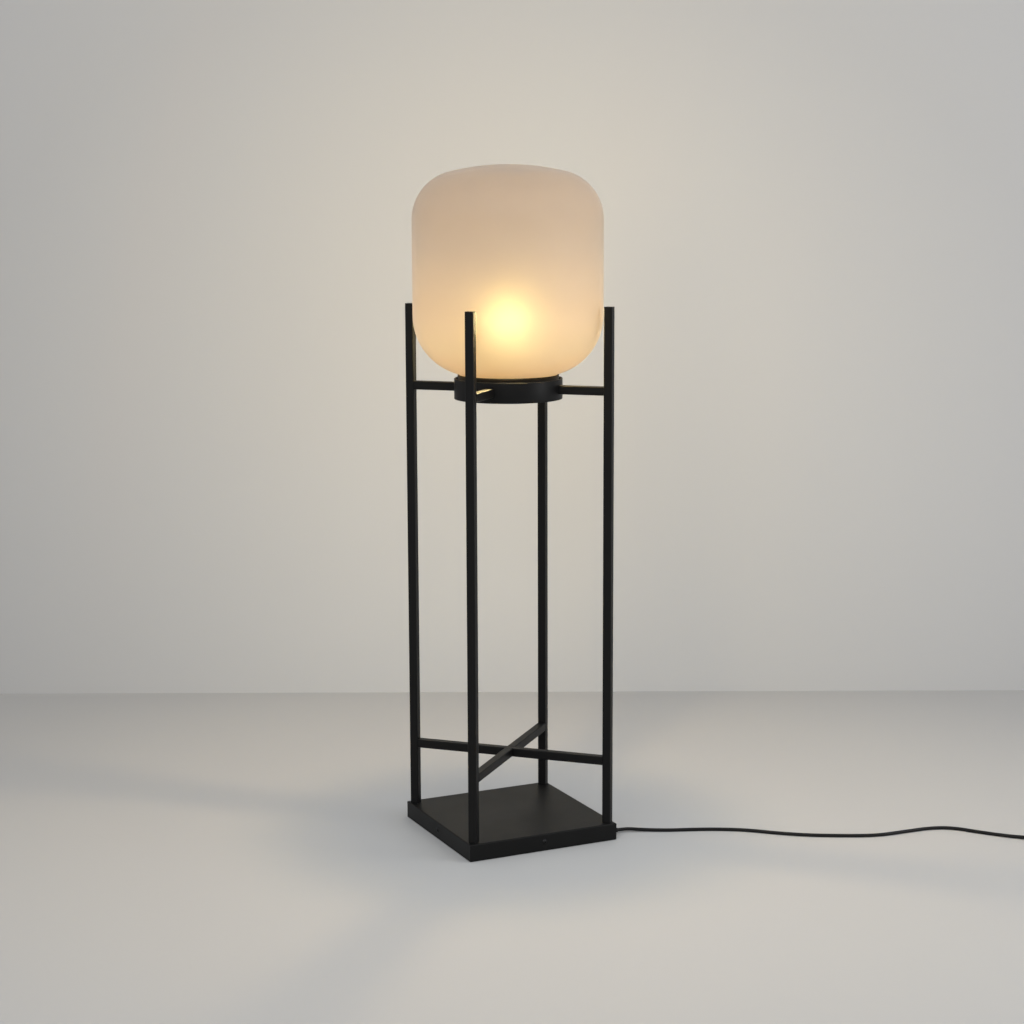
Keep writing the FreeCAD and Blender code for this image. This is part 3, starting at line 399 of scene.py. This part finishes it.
def bulb_globe():
    bm = bmesh.new()
    rise = BULB_CENTRE - BULB_THROAT
    throat = (BULB_NECK_R ** 2 + rise ** 2 - BULB_R ** 2) / (2 * (BULB_R - BULB_NECK_R))
    slope = math.degrees(math.atan2(rise, BULB_NECK_R + throat))
    tip = start(bm, BULB_NECK_R, BULB_FOOT)
    tip = run_to(bm, tip, BULB_NECK_R, BULB_THROAT)
    tip = carry_round(bm, tip, BULB_NECK_R + throat, BULB_THROAT, slope, 12)
    carry_round(bm, tip, 0.0, BULB_CENTRE, -(90 + slope), 20)
    spin_about_axis(bm, 48)
    return keep(bm, "bulb_globe", PEARL_BULB, "bulb", ["bulb_glass"], wall=1.0, sharp=60.0)


globe = bulb_globe()

# %% [markdown]
# ## The ring and the seat cup
# The ring is rolled from flat bar, so its edges are slightly broken. Each corner of its section is a small
# arc, which gives the thin line of light that runs round its rim. The cup inside it is spun from thin sheet.

# %% Ring and cup
RING_R, RING_WALL, RING_LOW, RING_HIGH, RING_EDGE = 100.0, 3.0, 824.5, 862.0, 0.6
CUP_R, CUP_WALL, CUP_FLOOR, CUP_RIM, CUP_BEND, CUP_HOLE = 93.4, 1.2, 850.0, 869.5, 4.0, 5.1


def ring_band():
    bm = bmesh.new()
    inside, edge = RING_R - RING_WALL, RING_EDGE
    first = start(bm, inside, RING_LOW + edge)
    tip = run_to(bm, first, inside, RING_HIGH - edge)
    tip = carry_round(bm, tip, inside + edge, RING_HIGH - edge, 90, 3)
    tip = run_to(bm, tip, RING_R - edge, RING_HIGH)
    tip = carry_round(bm, tip, RING_R - edge, RING_HIGH - edge, 90, 3)
    tip = run_to(bm, tip, RING_R, RING_LOW + edge)
    tip = carry_round(bm, tip, RING_R - edge, RING_LOW + edge, 90, 3)
    tip = run_to(bm, tip, inside + edge, RING_LOW)
    tip = carry_round(bm, tip, inside + edge, RING_LOW + edge, 90, 3)
    bmesh.ops.remove_doubles(bm, verts=bm.verts, dist=1e-6)
    spin_about_axis(bm, 128)
    return keep(bm, "ring_skin", FINISHES["black_powder_coat"], "frame", ["ring_band"])


def seat_cup():
    bm = bmesh.new()
    tip = start(bm, CUP_HOLE, CUP_FLOOR)
    tip = run_to(bm, tip, CUP_R - CUP_BEND, CUP_FLOOR)
    tip = carry_round(bm, tip, CUP_R - CUP_BEND, CUP_FLOOR + CUP_BEND, -90, 6)
    run_to(bm, tip, CUP_R, CUP_RIM)
    spin_about_axis(bm, 128)
    return keep(bm, "cup_skin", FINISHES["black_powder_coat"], "frame", ["seat_cup"],
                wall=CUP_WALL)


ring_band()
seat_cup()

# %% [markdown]
# ## Screws in the skirt
# One button-head screw in the middle of each side holds the folded cover to the pan under it. The head is
# part of a ball, cut flat on top, with a socket for a hexagon key. A round rim and a hexagon have different
# numbers of corners, and bridging joins them all the same. One screw is made and carried round to the others.

# %% Skirt screws
SIDE, SCREW_Z = 150.0, 18.0
HEAD_R, HEAD_RISE, HEAD_FLAT, KEY_R, KEY_DEPTH, SHANK_R, SHANK = 4.75, 2.75, 2.0, 1.5, 1.2, 2.5, 9.0


def turn_and_place(bm, degrees, axis, place):
    """Turn a piece that was made on the lamp's axis, then move it to its place, in millimetres."""
    turn = Matrix.Rotation(math.radians(degrees), 4, axis)
    bmesh.ops.transform(bm, matrix=Matrix.Translation(Vector(place) * MM) @ turn, verts=bm.verts)


def skirt_screws():
    bm = bmesh.new()
    ball = (HEAD_R ** 2 + HEAD_RISE ** 2) / (2 * HEAD_RISE)
    slope = math.degrees(math.asin(HEAD_R / ball) - math.asin(HEAD_FLAT / ball))
    tip = start(bm, 0.0, -SHANK)
    tip = run_to(bm, tip, SHANK_R, -SHANK)
    tip = run_to(bm, tip, SHANK_R, 0.0)
    tip = run_to(bm, tip, HEAD_R, 0.0)
    tip = carry_round(bm, tip, 0.0, HEAD_RISE - ball, -slope, 5)
    spin_about_axis(bm, 24)
    flat = Matrix.Translation((0, 0, max(v.co.z for v in bm.verts)))
    key = bmesh.ops.create_circle(bm, cap_ends=True, segments=6, radius=KEY_R * MM, matrix=flat)["verts"]
    sunk = bmesh.ops.extrude_face_region(bm, geom=list(key[0].link_faces))["geom"]
    floor = [g for g in sunk if isinstance(g, bmesh.types.BMVert)]
    bmesh.ops.translate(bm, verts=floor, vec=(0, 0, -KEY_DEPTH * MM))
    bmesh.ops.bridge_loops(bm, edges=[e for e in bm.edges if e.is_boundary])
    bmesh.ops.recalc_face_normals(bm, faces=bm.faces)
    turn_and_place(bm, 90, "Y", (SIDE, 0, SCREW_Z))
    bmesh.ops.spin(bm, geom=bm.verts[:] + bm.edges[:] + bm.faces[:], cent=(0, 0, 0), axis=(0, 0, 1),
                   dvec=(0, 0, 0), angle=math.radians(270), steps=3, use_duplicate=True)
    return keep(bm, "skirt_screw_heads", FINISHES["black_screws"], "frame", ["skirt_screws"])


skirt_screws()

# %% [markdown]
# ## The lampholder's sleeve
# The sleeve screws down by hand over the contacts, so it has upright ribs for the fingers. It is turned as a
# closed section, and every second face of its side is pushed in towards the axis, which leaves the ribs.

# %% Lampholder sleeve
HOLDER_R, HOLDER_LOW, HOLDER_TOP, HOLDER_EDGE = 20.0, 878.0, 914.0, 0.5
RIBS, RIB_DEPTH, RIB_LOW, RIB_TOP, RIB_RUN_OUT = 36, 0.7, 880.5, 908.5, 911.0
MOUTH_R, LIP_R, MOUTH_FLOOR = 18.0, 18.8, 908.0
SHELL_R, SHELL_TOP, SOCKET_R, SOCKET_TOP = 14.7, 905.0, 18.4, 884.0


def holder_sleeve():
    bm = bmesh.new()
    draw(bm, [(SOCKET_R, HOLDER_LOW), (HOLDER_R - HOLDER_EDGE, HOLDER_LOW),
              (HOLDER_R, HOLDER_LOW + HOLDER_EDGE), (HOLDER_R, RIB_LOW), (HOLDER_R, RIB_TOP),
              (HOLDER_R, RIB_RUN_OUT), (LIP_R, HOLDER_TOP),
              (MOUTH_R, HOLDER_TOP), (MOUTH_R, MOUTH_FLOOR), (SHELL_R, SHELL_TOP), (SHELL_R, SOCKET_TOP),
              (SOCKET_R, SOCKET_TOP), (SOCKET_R, HOLDER_LOW)])
    spin_about_axis(bm, 2 * RIBS)
    ribs_middle = (RIB_LOW + RIB_TOP) / 2 * MM
    side = [f for f in bm.faces if abs(f.calc_center_median().z - ribs_middle) < 1e-6
            and f.calc_center_median().xy.length > MOUTH_R * MM]
    side.sort(key=lambda f: math.atan2(f.calc_center_median().y, f.calc_center_median().x))
    for face in bmesh.ops.extrude_discrete_faces(bm, faces=side[::2])["faces"]:
        outwards = face.calc_center_median() * Vector((1, 1, 0))
        bmesh.ops.translate(bm, verts=face.verts, vec=-outwards.normalized() * RIB_DEPTH * MM)
    print("ribs", len(side) // 2)
    return keep(bm, "ribbed_sleeve", FINISHES["black_thermoplastic"], "frame",
                ["lampholder_sleeve"])


holder_sleeve()

# %% [markdown]
# ## The bulb's screw cap
# The cap is thin metal, rolled into a round thread. One wave of the thread, from crest to crest, is spun with
# a rise of one pitch a turn, so each turn ends where the next begins. The ends of the helix are cut off
# level, and each cut edge is extruded to the round parts above and below it.

# %% Screw cap
CAP_CREST, CAP_ROOT, THREAD_PITCH, THREAD_LOW, THREAD_HIGH = 13.05, 12.45, 3.63, 897.0, 909.0
BELOW_THREAD = [(13.0, 896.3), (12.5, 894.3)]                        # radius and height
ABOVE_THREAD = [(12.9, 909.8), (12.9, 913.9), (12.6, 914.0)]


def bulb_cap():
    bm = bmesh.new()
    steps, turns, waves = 48, 6, 8
    for i in range(waves + 1):
        x = (CAP_CREST + CAP_ROOT) / 2 + (CAP_CREST - CAP_ROOT) / 2 * math.cos(2 * math.pi * i / waves)
        z = THREAD_LOW - 2 * THREAD_PITCH + THREAD_PITCH * i / waves
        tip = start(bm, x, z) if i == 0 else run_to(bm, tip, x, z)
    bmesh.ops.spin(bm, geom=bm.verts[:] + bm.edges[:], cent=(0, 0, 0), axis=(0, 0, 1),
                   angle=2 * math.pi * turns, steps=steps * turns, dvec=(0, 0, THREAD_PITCH * MM / steps),
                   use_duplicate=False)
    bmesh.ops.remove_doubles(bm, verts=bm.verts, dist=5e-6)
    for z, below in ((THREAD_LOW, True), (THREAD_HIGH, False)):
        bmesh.ops.bisect_plane(bm, geom=bm.verts[:] + bm.edges[:] + bm.faces[:], plane_co=(0, 0, z * MM),
                               plane_no=(0, 0, 1), clear_inner=below, clear_outer=not below)
    middle = (THREAD_LOW + THREAD_HIGH) / 2 * MM
    for low, path in ((True, BELOW_THREAD), (False, ABOVE_THREAD)):
        rim = [e for e in bm.edges if e.is_boundary and (e.verts[0].co.z < middle) == low]
        for x, z in path:
            grown = bmesh.ops.extrude_edge_only(bm, edges=rim)["geom"]
            rim = [g for g in grown if isinstance(g, bmesh.types.BMEdge) and g.is_boundary]
            for vertex in {v for edge in rim for v in edge.verts}:
                out = vertex.co.xy.normalized() * x * MM
                vertex.co = (out.x, out.y, z * MM)
    bmesh.ops.recalc_face_normals(bm, faces=bm.faces)
    return keep(bm, "threaded_cap", FINISHES["plated_shell"], "bulb", ["bulb_cap"], wall=0.25)


bulb_cap()

# %% [markdown]
# ## The strain relief at the base
# Where the flex leaves the base, a rubber grommet clips into the skirt. Its tail is a tapered sleeve with
# grooves round it, so that it bends a little at each groove and never sharply at the hole.

# %% Strain relief
EXIT_Y, EXIT_Z, BORE, INSIDE_SKIRT, TAIL_END = -116.0, 6.4, 3.3, 146.3, 170.0
INNER_R, INNER_LENGTH, NECK_IN_SKIRT_R, FLANGE_R, FLANGE, SOFT_EDGE = 6.0, 3.0, 4.5, 5.9, 2.0, 0.4
TAIL_FOOT, TAIL_WIDE, TAIL_NARROW, TAIL_TIP_R = SIDE + 2.6, 5.2, 4.1, 3.8
GROOVES, FIRST_GROOVE, GROOVE_STEP, GROOVE_WIDE, GROOVE_DEEP, GROOVE_FLANK = 5, 1.2, 3.0, 1.2, 0.7, 0.1


def strain_relief():
    bm = bmesh.new()
    inner_end = INSIDE_SKIRT - INNER_LENGTH

    def taper(x):
        return TAIL_WIDE - (TAIL_WIDE - TAIL_NARROW) * (x - TAIL_FOOT) / (TAIL_END - TAIL_FOOT)

    outline = [(BORE, inner_end), (INNER_R, inner_end), (INNER_R, INSIDE_SKIRT),
               (NECK_IN_SKIRT_R, INSIDE_SKIRT), (NECK_IN_SKIRT_R, SIDE), (FLANGE_R - SOFT_EDGE, SIDE),
               (FLANGE_R, SIDE + SOFT_EDGE), (FLANGE_R, SIDE + FLANGE - SOFT_EDGE),
               (FLANGE_R - SOFT_EDGE, SIDE + FLANGE), (TAIL_WIDE, TAIL_FOOT)]
    for groove in range(GROOVES):
        near = TAIL_FOOT + FIRST_GROOVE + groove * GROOVE_STEP
        far = near + GROOVE_WIDE
        outline += [(taper(near), near), (taper(near) - GROOVE_DEEP, near + GROOVE_FLANK),
                    (taper(far) - GROOVE_DEEP, far - GROOVE_FLANK), (taper(far), far)]
    outline += [(TAIL_NARROW + 0.05, TAIL_END - SOFT_EDGE), (TAIL_TIP_R, TAIL_END), (BORE, TAIL_END),
                (BORE, inner_end)]
    draw(bm, outline)
    spin_about_axis(bm, 40)
    turn_and_place(bm, 90, "Y", (0, EXIT_Y, EXIT_Z))
    return keep(bm, "strain_relief", FINISHES["black_rubber"], "frame", ["cord_grommet"])


relief = strain_relief()

# %% [markdown]
# ## The foot switch's button
# The button is round and gently crowned, with a shallow ring in its top that keeps a foot from slipping. It
# is hollow below, where it slides on its guide, and a flange keeps it under the cover. The whole outline is
# one chain, spun upright and then moved to the switch.

# %% Button
SWITCH_HEADING, SWITCH_LENGTH, SWITCH_AXIS = math.radians(-45), 86.0, 4.9
AHEAD = Vector((math.cos(SWITCH_HEADING), math.sin(SWITCH_HEADING), 0))
SWITCH_IN = Vector((850.0, -494.0, SWITCH_AXIS))       # where the flex from the base goes in
SWITCH_MIDDLE = SWITCH_IN + AHEAD * SWITCH_LENGTH / 2 - Vector((0, 0, SWITCH_AXIS))
BUTTON_R, BUTTON_LOW, BUTTON_TOP, CROWN_EDGE, CROWN_DROP = 12.8, 12.0, 25.5, 10.8, 1.0
GRIP_INSIDE, GRIP_OUTSIDE, GRIP_DEPTH, GRIP_FLANK = 6.6, 7.4, 0.3, 0.1
UNDER_COVER_R, UNDER_COVER_Z, GUIDE_R, GUIDE_TOP = 15.5, 14.0, 4.6, 20.0


def foot_button():
    bm = bmesh.new()
    crown = (CROWN_EDGE ** 2 + CROWN_DROP ** 2) / (2 * CROWN_DROP)
    middle = BUTTON_TOP - crown

    def lean(x):
        return math.degrees(math.asin(x / crown))

    tip = start(bm, 0.0, BUTTON_TOP)
    tip = carry_round(bm, tip, 0.0, middle, lean(GRIP_INSIDE), 5)
    on_crown = middle + crown * math.cos(math.radians(lean(GRIP_OUTSIDE)))
    for x, z in ((GRIP_INSIDE + GRIP_FLANK, on_crown - GRIP_DEPTH),
                 (GRIP_OUTSIDE - GRIP_FLANK, on_crown - GRIP_DEPTH), (GRIP_OUTSIDE, on_crown)):
        tip = run_to(bm, tip, x, z)
    tip = carry_round(bm, tip, 0.0, middle, lean(CROWN_EDGE) - lean(GRIP_OUTSIDE), 3)
    rim = BUTTON_R - CROWN_EDGE
    tip = carry_round(bm, tip, CROWN_EDGE, BUTTON_TOP - CROWN_DROP - rim, 90, 6)
    for x, z in ((BUTTON_R, UNDER_COVER_Z), (UNDER_COVER_R, UNDER_COVER_Z), (UNDER_COVER_R, BUTTON_LOW),
                 (GUIDE_R, BUTTON_LOW), (GUIDE_R, GUIDE_TOP), (0.0, GUIDE_TOP)):
        tip = run_to(bm, tip, x, z)
    bmesh.ops.remove_doubles(bm, verts=bm.verts, dist=1e-6)
    spin_about_axis(bm, 64)
    turn_and_place(bm, 0, "Z", SWITCH_MIDDLE)
    return keep(bm, "foot_button", FINISHES["black_button"], "button", ["switch_button"])


button = foot_button()

# %% [markdown]
# ## The plug
# The plug is moulded onto the flex: a tapered tail with grooves, a narrow waist with ribs to pull on, and a
# full face. Its outline across the axis is flat-sided like a running track. One such ring after another is
# made along the axis, narrower where a groove runs, and each is bridged to the last. The plug is put on the
# end of the cord once the cord is laid, further down.

# %% Plug
PLUG_TAIL, TAIL_START, TAIL_GROWTH = 20.0, 8.2, 3.8
PLUG_STATIONS = [(20.0, 15.0, 12.0), (28.0, 24.0, 19.0), (40.0, 27.0, 21.0), (51.0, 35.0, 25.6),
                 (65.0, 35.0, 25.6)]     # distance, width and height
ROW = 5                                  # grooves in the tail, and ribs on the waist
TAIL_GROOVES = (2.4, 3.2, 1.7, 0.2, 1.4)       # first, step, depth, flank and width of one
WAIST_RIBS = (29.4, 2.4, 1.5, 0.25, 1.2)


def plug_section(x):
    """Width and height of the plug at a distance from where the flex goes in."""
    if x <= PLUG_TAIL:
        return (TAIL_START + TAIL_GROWTH * x / PLUG_TAIL,) * 2
    for (x0, w0, h0), (x1, w1, h1) in zip(PLUG_STATIONS, PLUG_STATIONS[1:]):
        if x <= x1:
            t = (x - x0) / (x1 - x0)
            t = t * t * (3 - 2 * t)
            return w0 + (w1 - w0) * t, h0 + (h1 - h0) * t


def oval_ring(bm, x, narrower, corners=40):
    """A ring of edges across the plug's axis; returns its edges."""
    width, height = (side - narrower for side in plug_section(x))
    half_step = Matrix.Rotation(math.pi / corners, 4, "Z")
    stand = Matrix.Translation((x * MM, 0, 0)) @ Matrix.Rotation(math.pi / 2, 4, "Y") @ half_step
    ring = bmesh.ops.create_circle(bm, segments=corners, radius=height / 2 * MM, matrix=stand)["verts"]
    for vertex in ring:
        vertex.co.y += math.copysign((width - height) / 2 * MM, vertex.co.y)
    return list({edge for vertex in ring for edge in vertex.link_edges})


def row_of_dents(first, step, depth, flank, width):
    """Stops along the axis for a row of dents: each a distance and how much narrower the ring is there."""
    stops = []
    for near in (first + step * i for i in range(ROW)):
        stops += [(near, 0.0), (near + flank, depth), (near + width - flank, depth), (near + width, 0.0)]
    return stops


def plug(place, heading):
    bm = bmesh.new()
    stops = [(0.0, 1.0), (0.5, 0.0)] + row_of_dents(*TAIL_GROOVES)
    stops += [(19.0, 0.0), (20.0, 0.0), (20.6, 0.4), (22.0, 0.0), (24.0, 0.0), (26.0, 0.0), (28.0, 0.0)]
    stops += row_of_dents(*WAIST_RIBS)
    stops += [(42.0 + 1.5 * i, 0.0) for i in range(7)]
    stops += [(63.6, 0.0), (64.4, 0.4), (65.0, 1.6)]
    rings = [oval_ring(bm, x, narrower) for x, narrower in stops]
    for near, far in zip(rings, rings[1:]):
        bmesh.ops.bridge_loops(bm, edges=near + far)
    bmesh.ops.holes_fill(bm, edges=[e for e in bm.edges if e.is_boundary], sides=0)
    bmesh.ops.recalc_face_normals(bm, faces=bm.faces)
    turn_and_place(bm, heading, "Z", place)
    return keep(bm, "ribbed_plug", FINISHES["black_rubber"], "frame", ["plug_body"],
                sharp=40.0)


print("plug rows", TAIL_GROOVES, WAIST_RIBS)

# %% [markdown]
# ## The cord
# The flex lies on the floor in slow bends. It is one smooth curve through a few given points, with
# a round section. Past the picture's edge it goes through a foot switch, and the rest is put away in a coil.

# %% Cord from the base to the switch
FLEX = 6.5
FLOOR = FLEX / 2
CORD_ROUTE = [
    (170, -116, 6.4), (190, -116, 6.4), (215, -127, 3.9), (258, -150, FLOOR), (310, -169, FLOOR),
    (354, -189, FLOOR), (398, -217, FLOOR), (436, -255, FLOOR), (483, -292, FLOOR), (540, -323, FLOOR),
    (596, -349, FLOOR), (655, -353, FLOOR), (712, -355, FLOOR), (753, -372, FLOOR), (784, -418, FLOOR),
    (823, -467, FLOOR), tuple(SWITCH_IN),
]


def lay_cord(name, route, replaced):
    """A round flex along a smooth curve; route is in millimetres."""
    curve = bpy.data.curves.new(name, "CURVE")
    curve.dimensions = "3D"
    spline = curve.splines.new("NURBS")
    spline.points.add(len(route) - 1)
    for point, place in zip(spline.points, route):
        point.co = (place[0] * MM, place[1] * MM, place[2] * MM, 1.0)
    spline.order_u = 3
    spline.use_endpoint_u = True
    spline.resolution_u = 8
    curve.bevel_depth = FLEX * MM / 2
    curve.bevel_resolution = 5
    curve.use_fill_caps = True
    curve.materials.append(FINISHES["black_flex"])
    piece = bpy.data.objects.new(name, curve)
    bpy.context.scene.collection.objects.link(piece)
    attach(piece, "frame")
    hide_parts(*replaced)
    return piece


base_cord = lay_cord("flex_to_switch", CORD_ROUTE, ["cord_to_switch"])

# %% [markdown]
# ## The coil
# Cord that is put away spirals in, climbs one layer in the half turn where it reverses, and spirals out
# again on top. Each half turn has its own centre, midway between its two ends. A smooth curve runs a little
# inside its control points, so they stand further out by the cosine of half their spacing.

# %% Coil and plug end
ACROSS = Vector((-AHEAD.y, AHEAD.x, 0))
LINK_LEAVES, LINK_LANDS, LINK = 9.0, 20.0, 29.0
COIL_R, COIL_TURNS, COIL_PITCH, COIL_LAYER, COIL_Z = 44.0, 2, 8.5, 7.0, 4.3
POINTS_PER_HALF = 9
PLUG_Z, TAIL_STEP, TAIL_HEADINGS = 13.0, 16.0, (135.0, 115.0, 95.0, 78.0)

switch_out = SWITCH_IN + AHEAD * SWITCH_LENGTH
coil_centre = switch_out + AHEAD * (LINK + FLEX) + ACROSS * COIL_R
coil_centre.z = 0.0


def coil_points():
    """Control points of all half turns, from the outermost below to the outermost above."""
    inwards = [COIL_R - COIL_PITCH / 2 * i for i in range(2 * COIL_TURNS + 1)]
    stops = inwards + inwards[::-1]
    spacing = math.pi / POINTS_PER_HALF
    points, side = [], -1
    for i in range(len(stops) - 1):
        radius = (stops[i] + stops[i + 1]) / 2
        centre = coil_centre + ACROSS * (side * (stops[i] - radius))
        climb = 0.0 if i < 2 * COIL_TURNS else COIL_LAYER
        for k in range(POINTS_PER_HALF):
            angle = spacing * (k + 0.5)
            place = (centre + ACROSS * (side * radius * math.cos(angle) / math.cos(spacing / 2))
                     + AHEAD * (-side * radius * math.sin(angle) / math.cos(spacing / 2)))
            if i == 2 * COIL_TURNS:
                climb = COIL_LAYER * (1 - math.cos(angle)) / 2
            place.z = COIL_Z + climb
            points.append(place)
        side = -side
    return points


def tail_points():
    """From the coil's end, curving away to the plug beside it."""
    place = coil_centre + ACROSS * COIL_R - AHEAD * FLEX
    place.z = COIL_Z + COIL_LAYER
    rise = (PLUG_Z - place.z) / 2
    points = [place.copy()]
    for degrees, up in zip(TAIL_HEADINGS, (0.0, rise, rise, 0.0)):
        heading = math.radians(degrees)
        place = place + Vector((math.cos(heading), math.sin(heading), 0)) * TAIL_STEP
        place.z += up
        points.append(place.copy())
    return points


drop = Vector((0, 0, COIL_Z - SWITCH_AXIS))
link = [switch_out, switch_out + AHEAD * LINK_LEAVES, switch_out + AHEAD * LINK_LANDS + drop,
        switch_out + AHEAD * LINK + drop]
tail = tail_points()
plug_shell = plug(tail[-1], TAIL_HEADINGS[-1])
coil_cord = lay_cord("flex_coil", link + coil_points() + tail,
                     ["cord_to_coil", "cord_coil", "cord_to_plug"])

# %% [markdown]
# ## Floor and wall
# The photograph has a pale floor that meets a pale wall about a metre behind the lamp. Both are
# sheets of matt paint, paler near the lamp: a painted halo of its light on the wall and a painted pool of
# its light on the floor. Each sheet can be seen from its front only, so other views are free of it.

# %% Stage
WALL_BEHIND = 1.051
to_wall = Vector((math.sin(math.radians(HEADING)), math.cos(math.radians(HEADING)), 0))
along_wall = Vector((to_wall.y, -to_wall.x, 0))


def sheet(name, middle, across, up, paint):
    """A plain sheet of the stage; across and up are half its sides, as vectors."""
    bm = bmesh.new()
    bmesh.ops.create_grid(bm, x_segments=1, y_segments=1, size=1.0)
    facing = across.cross(up).normalized()
    turned = Matrix((across, up, facing)).transposed().to_4x4()
    bmesh.ops.transform(bm, matrix=Matrix.Translation(middle) @ turned, verts=bm.verts)
    mesh = bpy.data.meshes.new(name)
    bm.to_mesh(mesh)
    bm.free()
    mesh.materials.append(stage_paint_with_painted_light(name + "_paint", paint))
    piece = bpy.data.objects.new(name, mesh)
    bpy.context.scene.collection.objects.link(piece)
    return piece


def stage_paint_with_painted_light(name, paint):
    """Matt paint, with its colours near a point and far from it, the paler near colour a painted halo of
    light; the sheet is clear from behind.
    """
    material, tree, shader, place = new_material(name)
    point, radius, near, far = paint
    distance = add(tree, "VectorMath", {0: place}, operation="DISTANCE")
    distance.inputs[1].default_value = point
    # Fading from the paler near colour to the far one paints the lamp's light on the sheet.
    painted_light_fade = spread(tree, distance.outputs["Value"], 0.0, 1.0, 0.0, radius)
    middle = tuple(0.45 * n + 0.55 * f for n, f in zip(near, far))
    tree.links.new(ramp(tree, painted_light_fade, [(0.0, near), (0.5, middle), (1.0, far)]), shader.inputs["Base Color"])
    shader.inputs["Roughness"].default_value = 0.7
    shader.inputs["Specular IOR Level"].default_value = 0.2
    behind = tree.nodes.new("ShaderNodeNewGeometry").outputs["Backfacing"]
    clear = tree.nodes.new("ShaderNodeBsdfTransparent")
    mix = add(tree, "MixShader", {0: behind, 1: shader.outputs[0], 2: clear.outputs[0]})
    tree.links.new(mix.outputs[0], tree.nodes["Material Output"].inputs["Surface"])
    return material


UP = Vector((0, 0, 1))
WALL_FOOT = to_wall * WALL_BEHIND
# Each paint is a point, a radius, a near and a far colour. The paler near colours are a painted halo of the
# lamp's light on the wall and a painted pool of it on the floor.
WALL_PAINT_WITH_HALO = (WALL_FOOT + UP * 0.25, 1.5, (0.58, 0.585, 0.585), (0.43, 0.435, 0.445))
FLOOR_PAINT_WITH_POOL = (Vector((0.0, -0.2, 0.0)), 1.5, (0.505, 0.513, 0.515), (0.39, 0.398, 0.41))
HALF_WALL, HALF_WALL_UP, HALF_FLOOR_X, HALF_FLOOR_Y = 2.2, 1.6, 4.0, 4.5
sheet("wall", WALL_FOOT + UP * HALF_WALL_UP, along_wall * HALF_WALL, UP * HALF_WALL_UP, WALL_PAINT_WITH_HALO)
floor = sheet("floor", Vector((0, 0, 0)), Vector((HALF_FLOOR_X, 0, 0)), Vector((0, HALF_FLOOR_Y, 0)),
              FLOOR_PAINT_WITH_POOL)

# %% [markdown]
# ## Light
# The room is evenly lit: an even world, one wide soft lamp from the upper left and a weaker one from the
# upper right. A low panel on the right makes the soft light streak on the ring. Their strengths and the two
# paints were set together, against the photograph.

# %% World and lamps
world = bpy.data.worlds.new("room")
bpy.context.scene.world = world
world.use_nodes = True
world.node_tree.nodes["Background"].inputs["Color"].default_value = (0.68, 0.685, 0.69, 1.0)
world.node_tree.nodes["Background"].inputs["Strength"].default_value = 1.0


def soft_lamp(name, place, target, size, energy, colour=(1.0, 1.0, 1.0)):
    data = bpy.data.lights.new(name, "AREA")
    data.shape = "DISK"
    data.size = size
    data.energy = energy
    data.color = colour
    lamp = bpy.data.objects.new(name, data)
    bpy.context.scene.collection.objects.link(lamp)
    place, target = Vector(place), Vector(target)
    aim = (target - place).to_track_quat("-Z", "Y").to_matrix().to_4x4()
    lamp.matrix_world = Matrix.Translation(place) @ aim
    return lamp


soft_lamp("studio_left", (-2.2, -2.6, 3.2), (0.0, 0.0, 0.4), 2.8, 52.0, (0.98, 0.99, 1.0))
soft_lamp("studio_right", (2.0, -2.2, 3.0), (0.0, 0.0, 0.4), 2.4, 18.0)
soft_lamp("panel_right", (1.9, -1.75, 0.95), (0.0, 0.0, 0.8), 1.0, 14.0)

# %% [markdown]
# ## The lamp's own light
# The bulb's light leaves the glass all round and falls on the wall and the floor, where the ring and the
# four posts throw soft shadows outwards. Traced through two walls of frosted glass it would be slow and
# grainy, so small round lights in the shade stand for it, one in the bulb and one above. Light linking
# keeps them off the glass, which has its own glow, and lets their light pass through it. A third falls on
# the floor alone, for the warm pool there with the posts' shadows across it.

# %% Glow on the surroundings
def own_light(name, glass_pieces, height, power, radius, colour=(1.0, 0.76, 0.36), only_on=None):
    data = bpy.data.lights.new(name, "POINT")
    data.energy = power
    data.color = colour
    data.shadow_soft_size = radius
    lamp = bpy.data.objects.new(name, data)
    lamp.location = (0.0, 0.0, height)
    bpy.context.scene.collection.objects.link(lamp)
    left_out = bpy.data.collections.new(name + "_leaves_out")
    for piece in glass_pieces:
        left_out.objects.link(piece)
    for member in left_out.collection_objects:
        member.light_linking.link_state = "EXCLUDE"
    lamp.light_linking.receiver_collection = left_out
    lamp.light_linking.blocker_collection = left_out
    if only_on:
        lit = bpy.data.collections.new(name + "_falls_on")
        lit.objects.link(only_on)
        lamp.light_linking.receiver_collection = lit
    return lamp


GLASS = [shade, globe, frame["nodes"]["bulb_stem"]]
own_light("glow_low", GLASS, 0.97, 9.0, 0.03)
own_light("glow_high", GLASS, 1.16, 11.0, 0.035)
own_light("glow_pool", GLASS, 1.08, 10.5, 0.025, (1.0, 0.70, 0.42), only_on=floor)
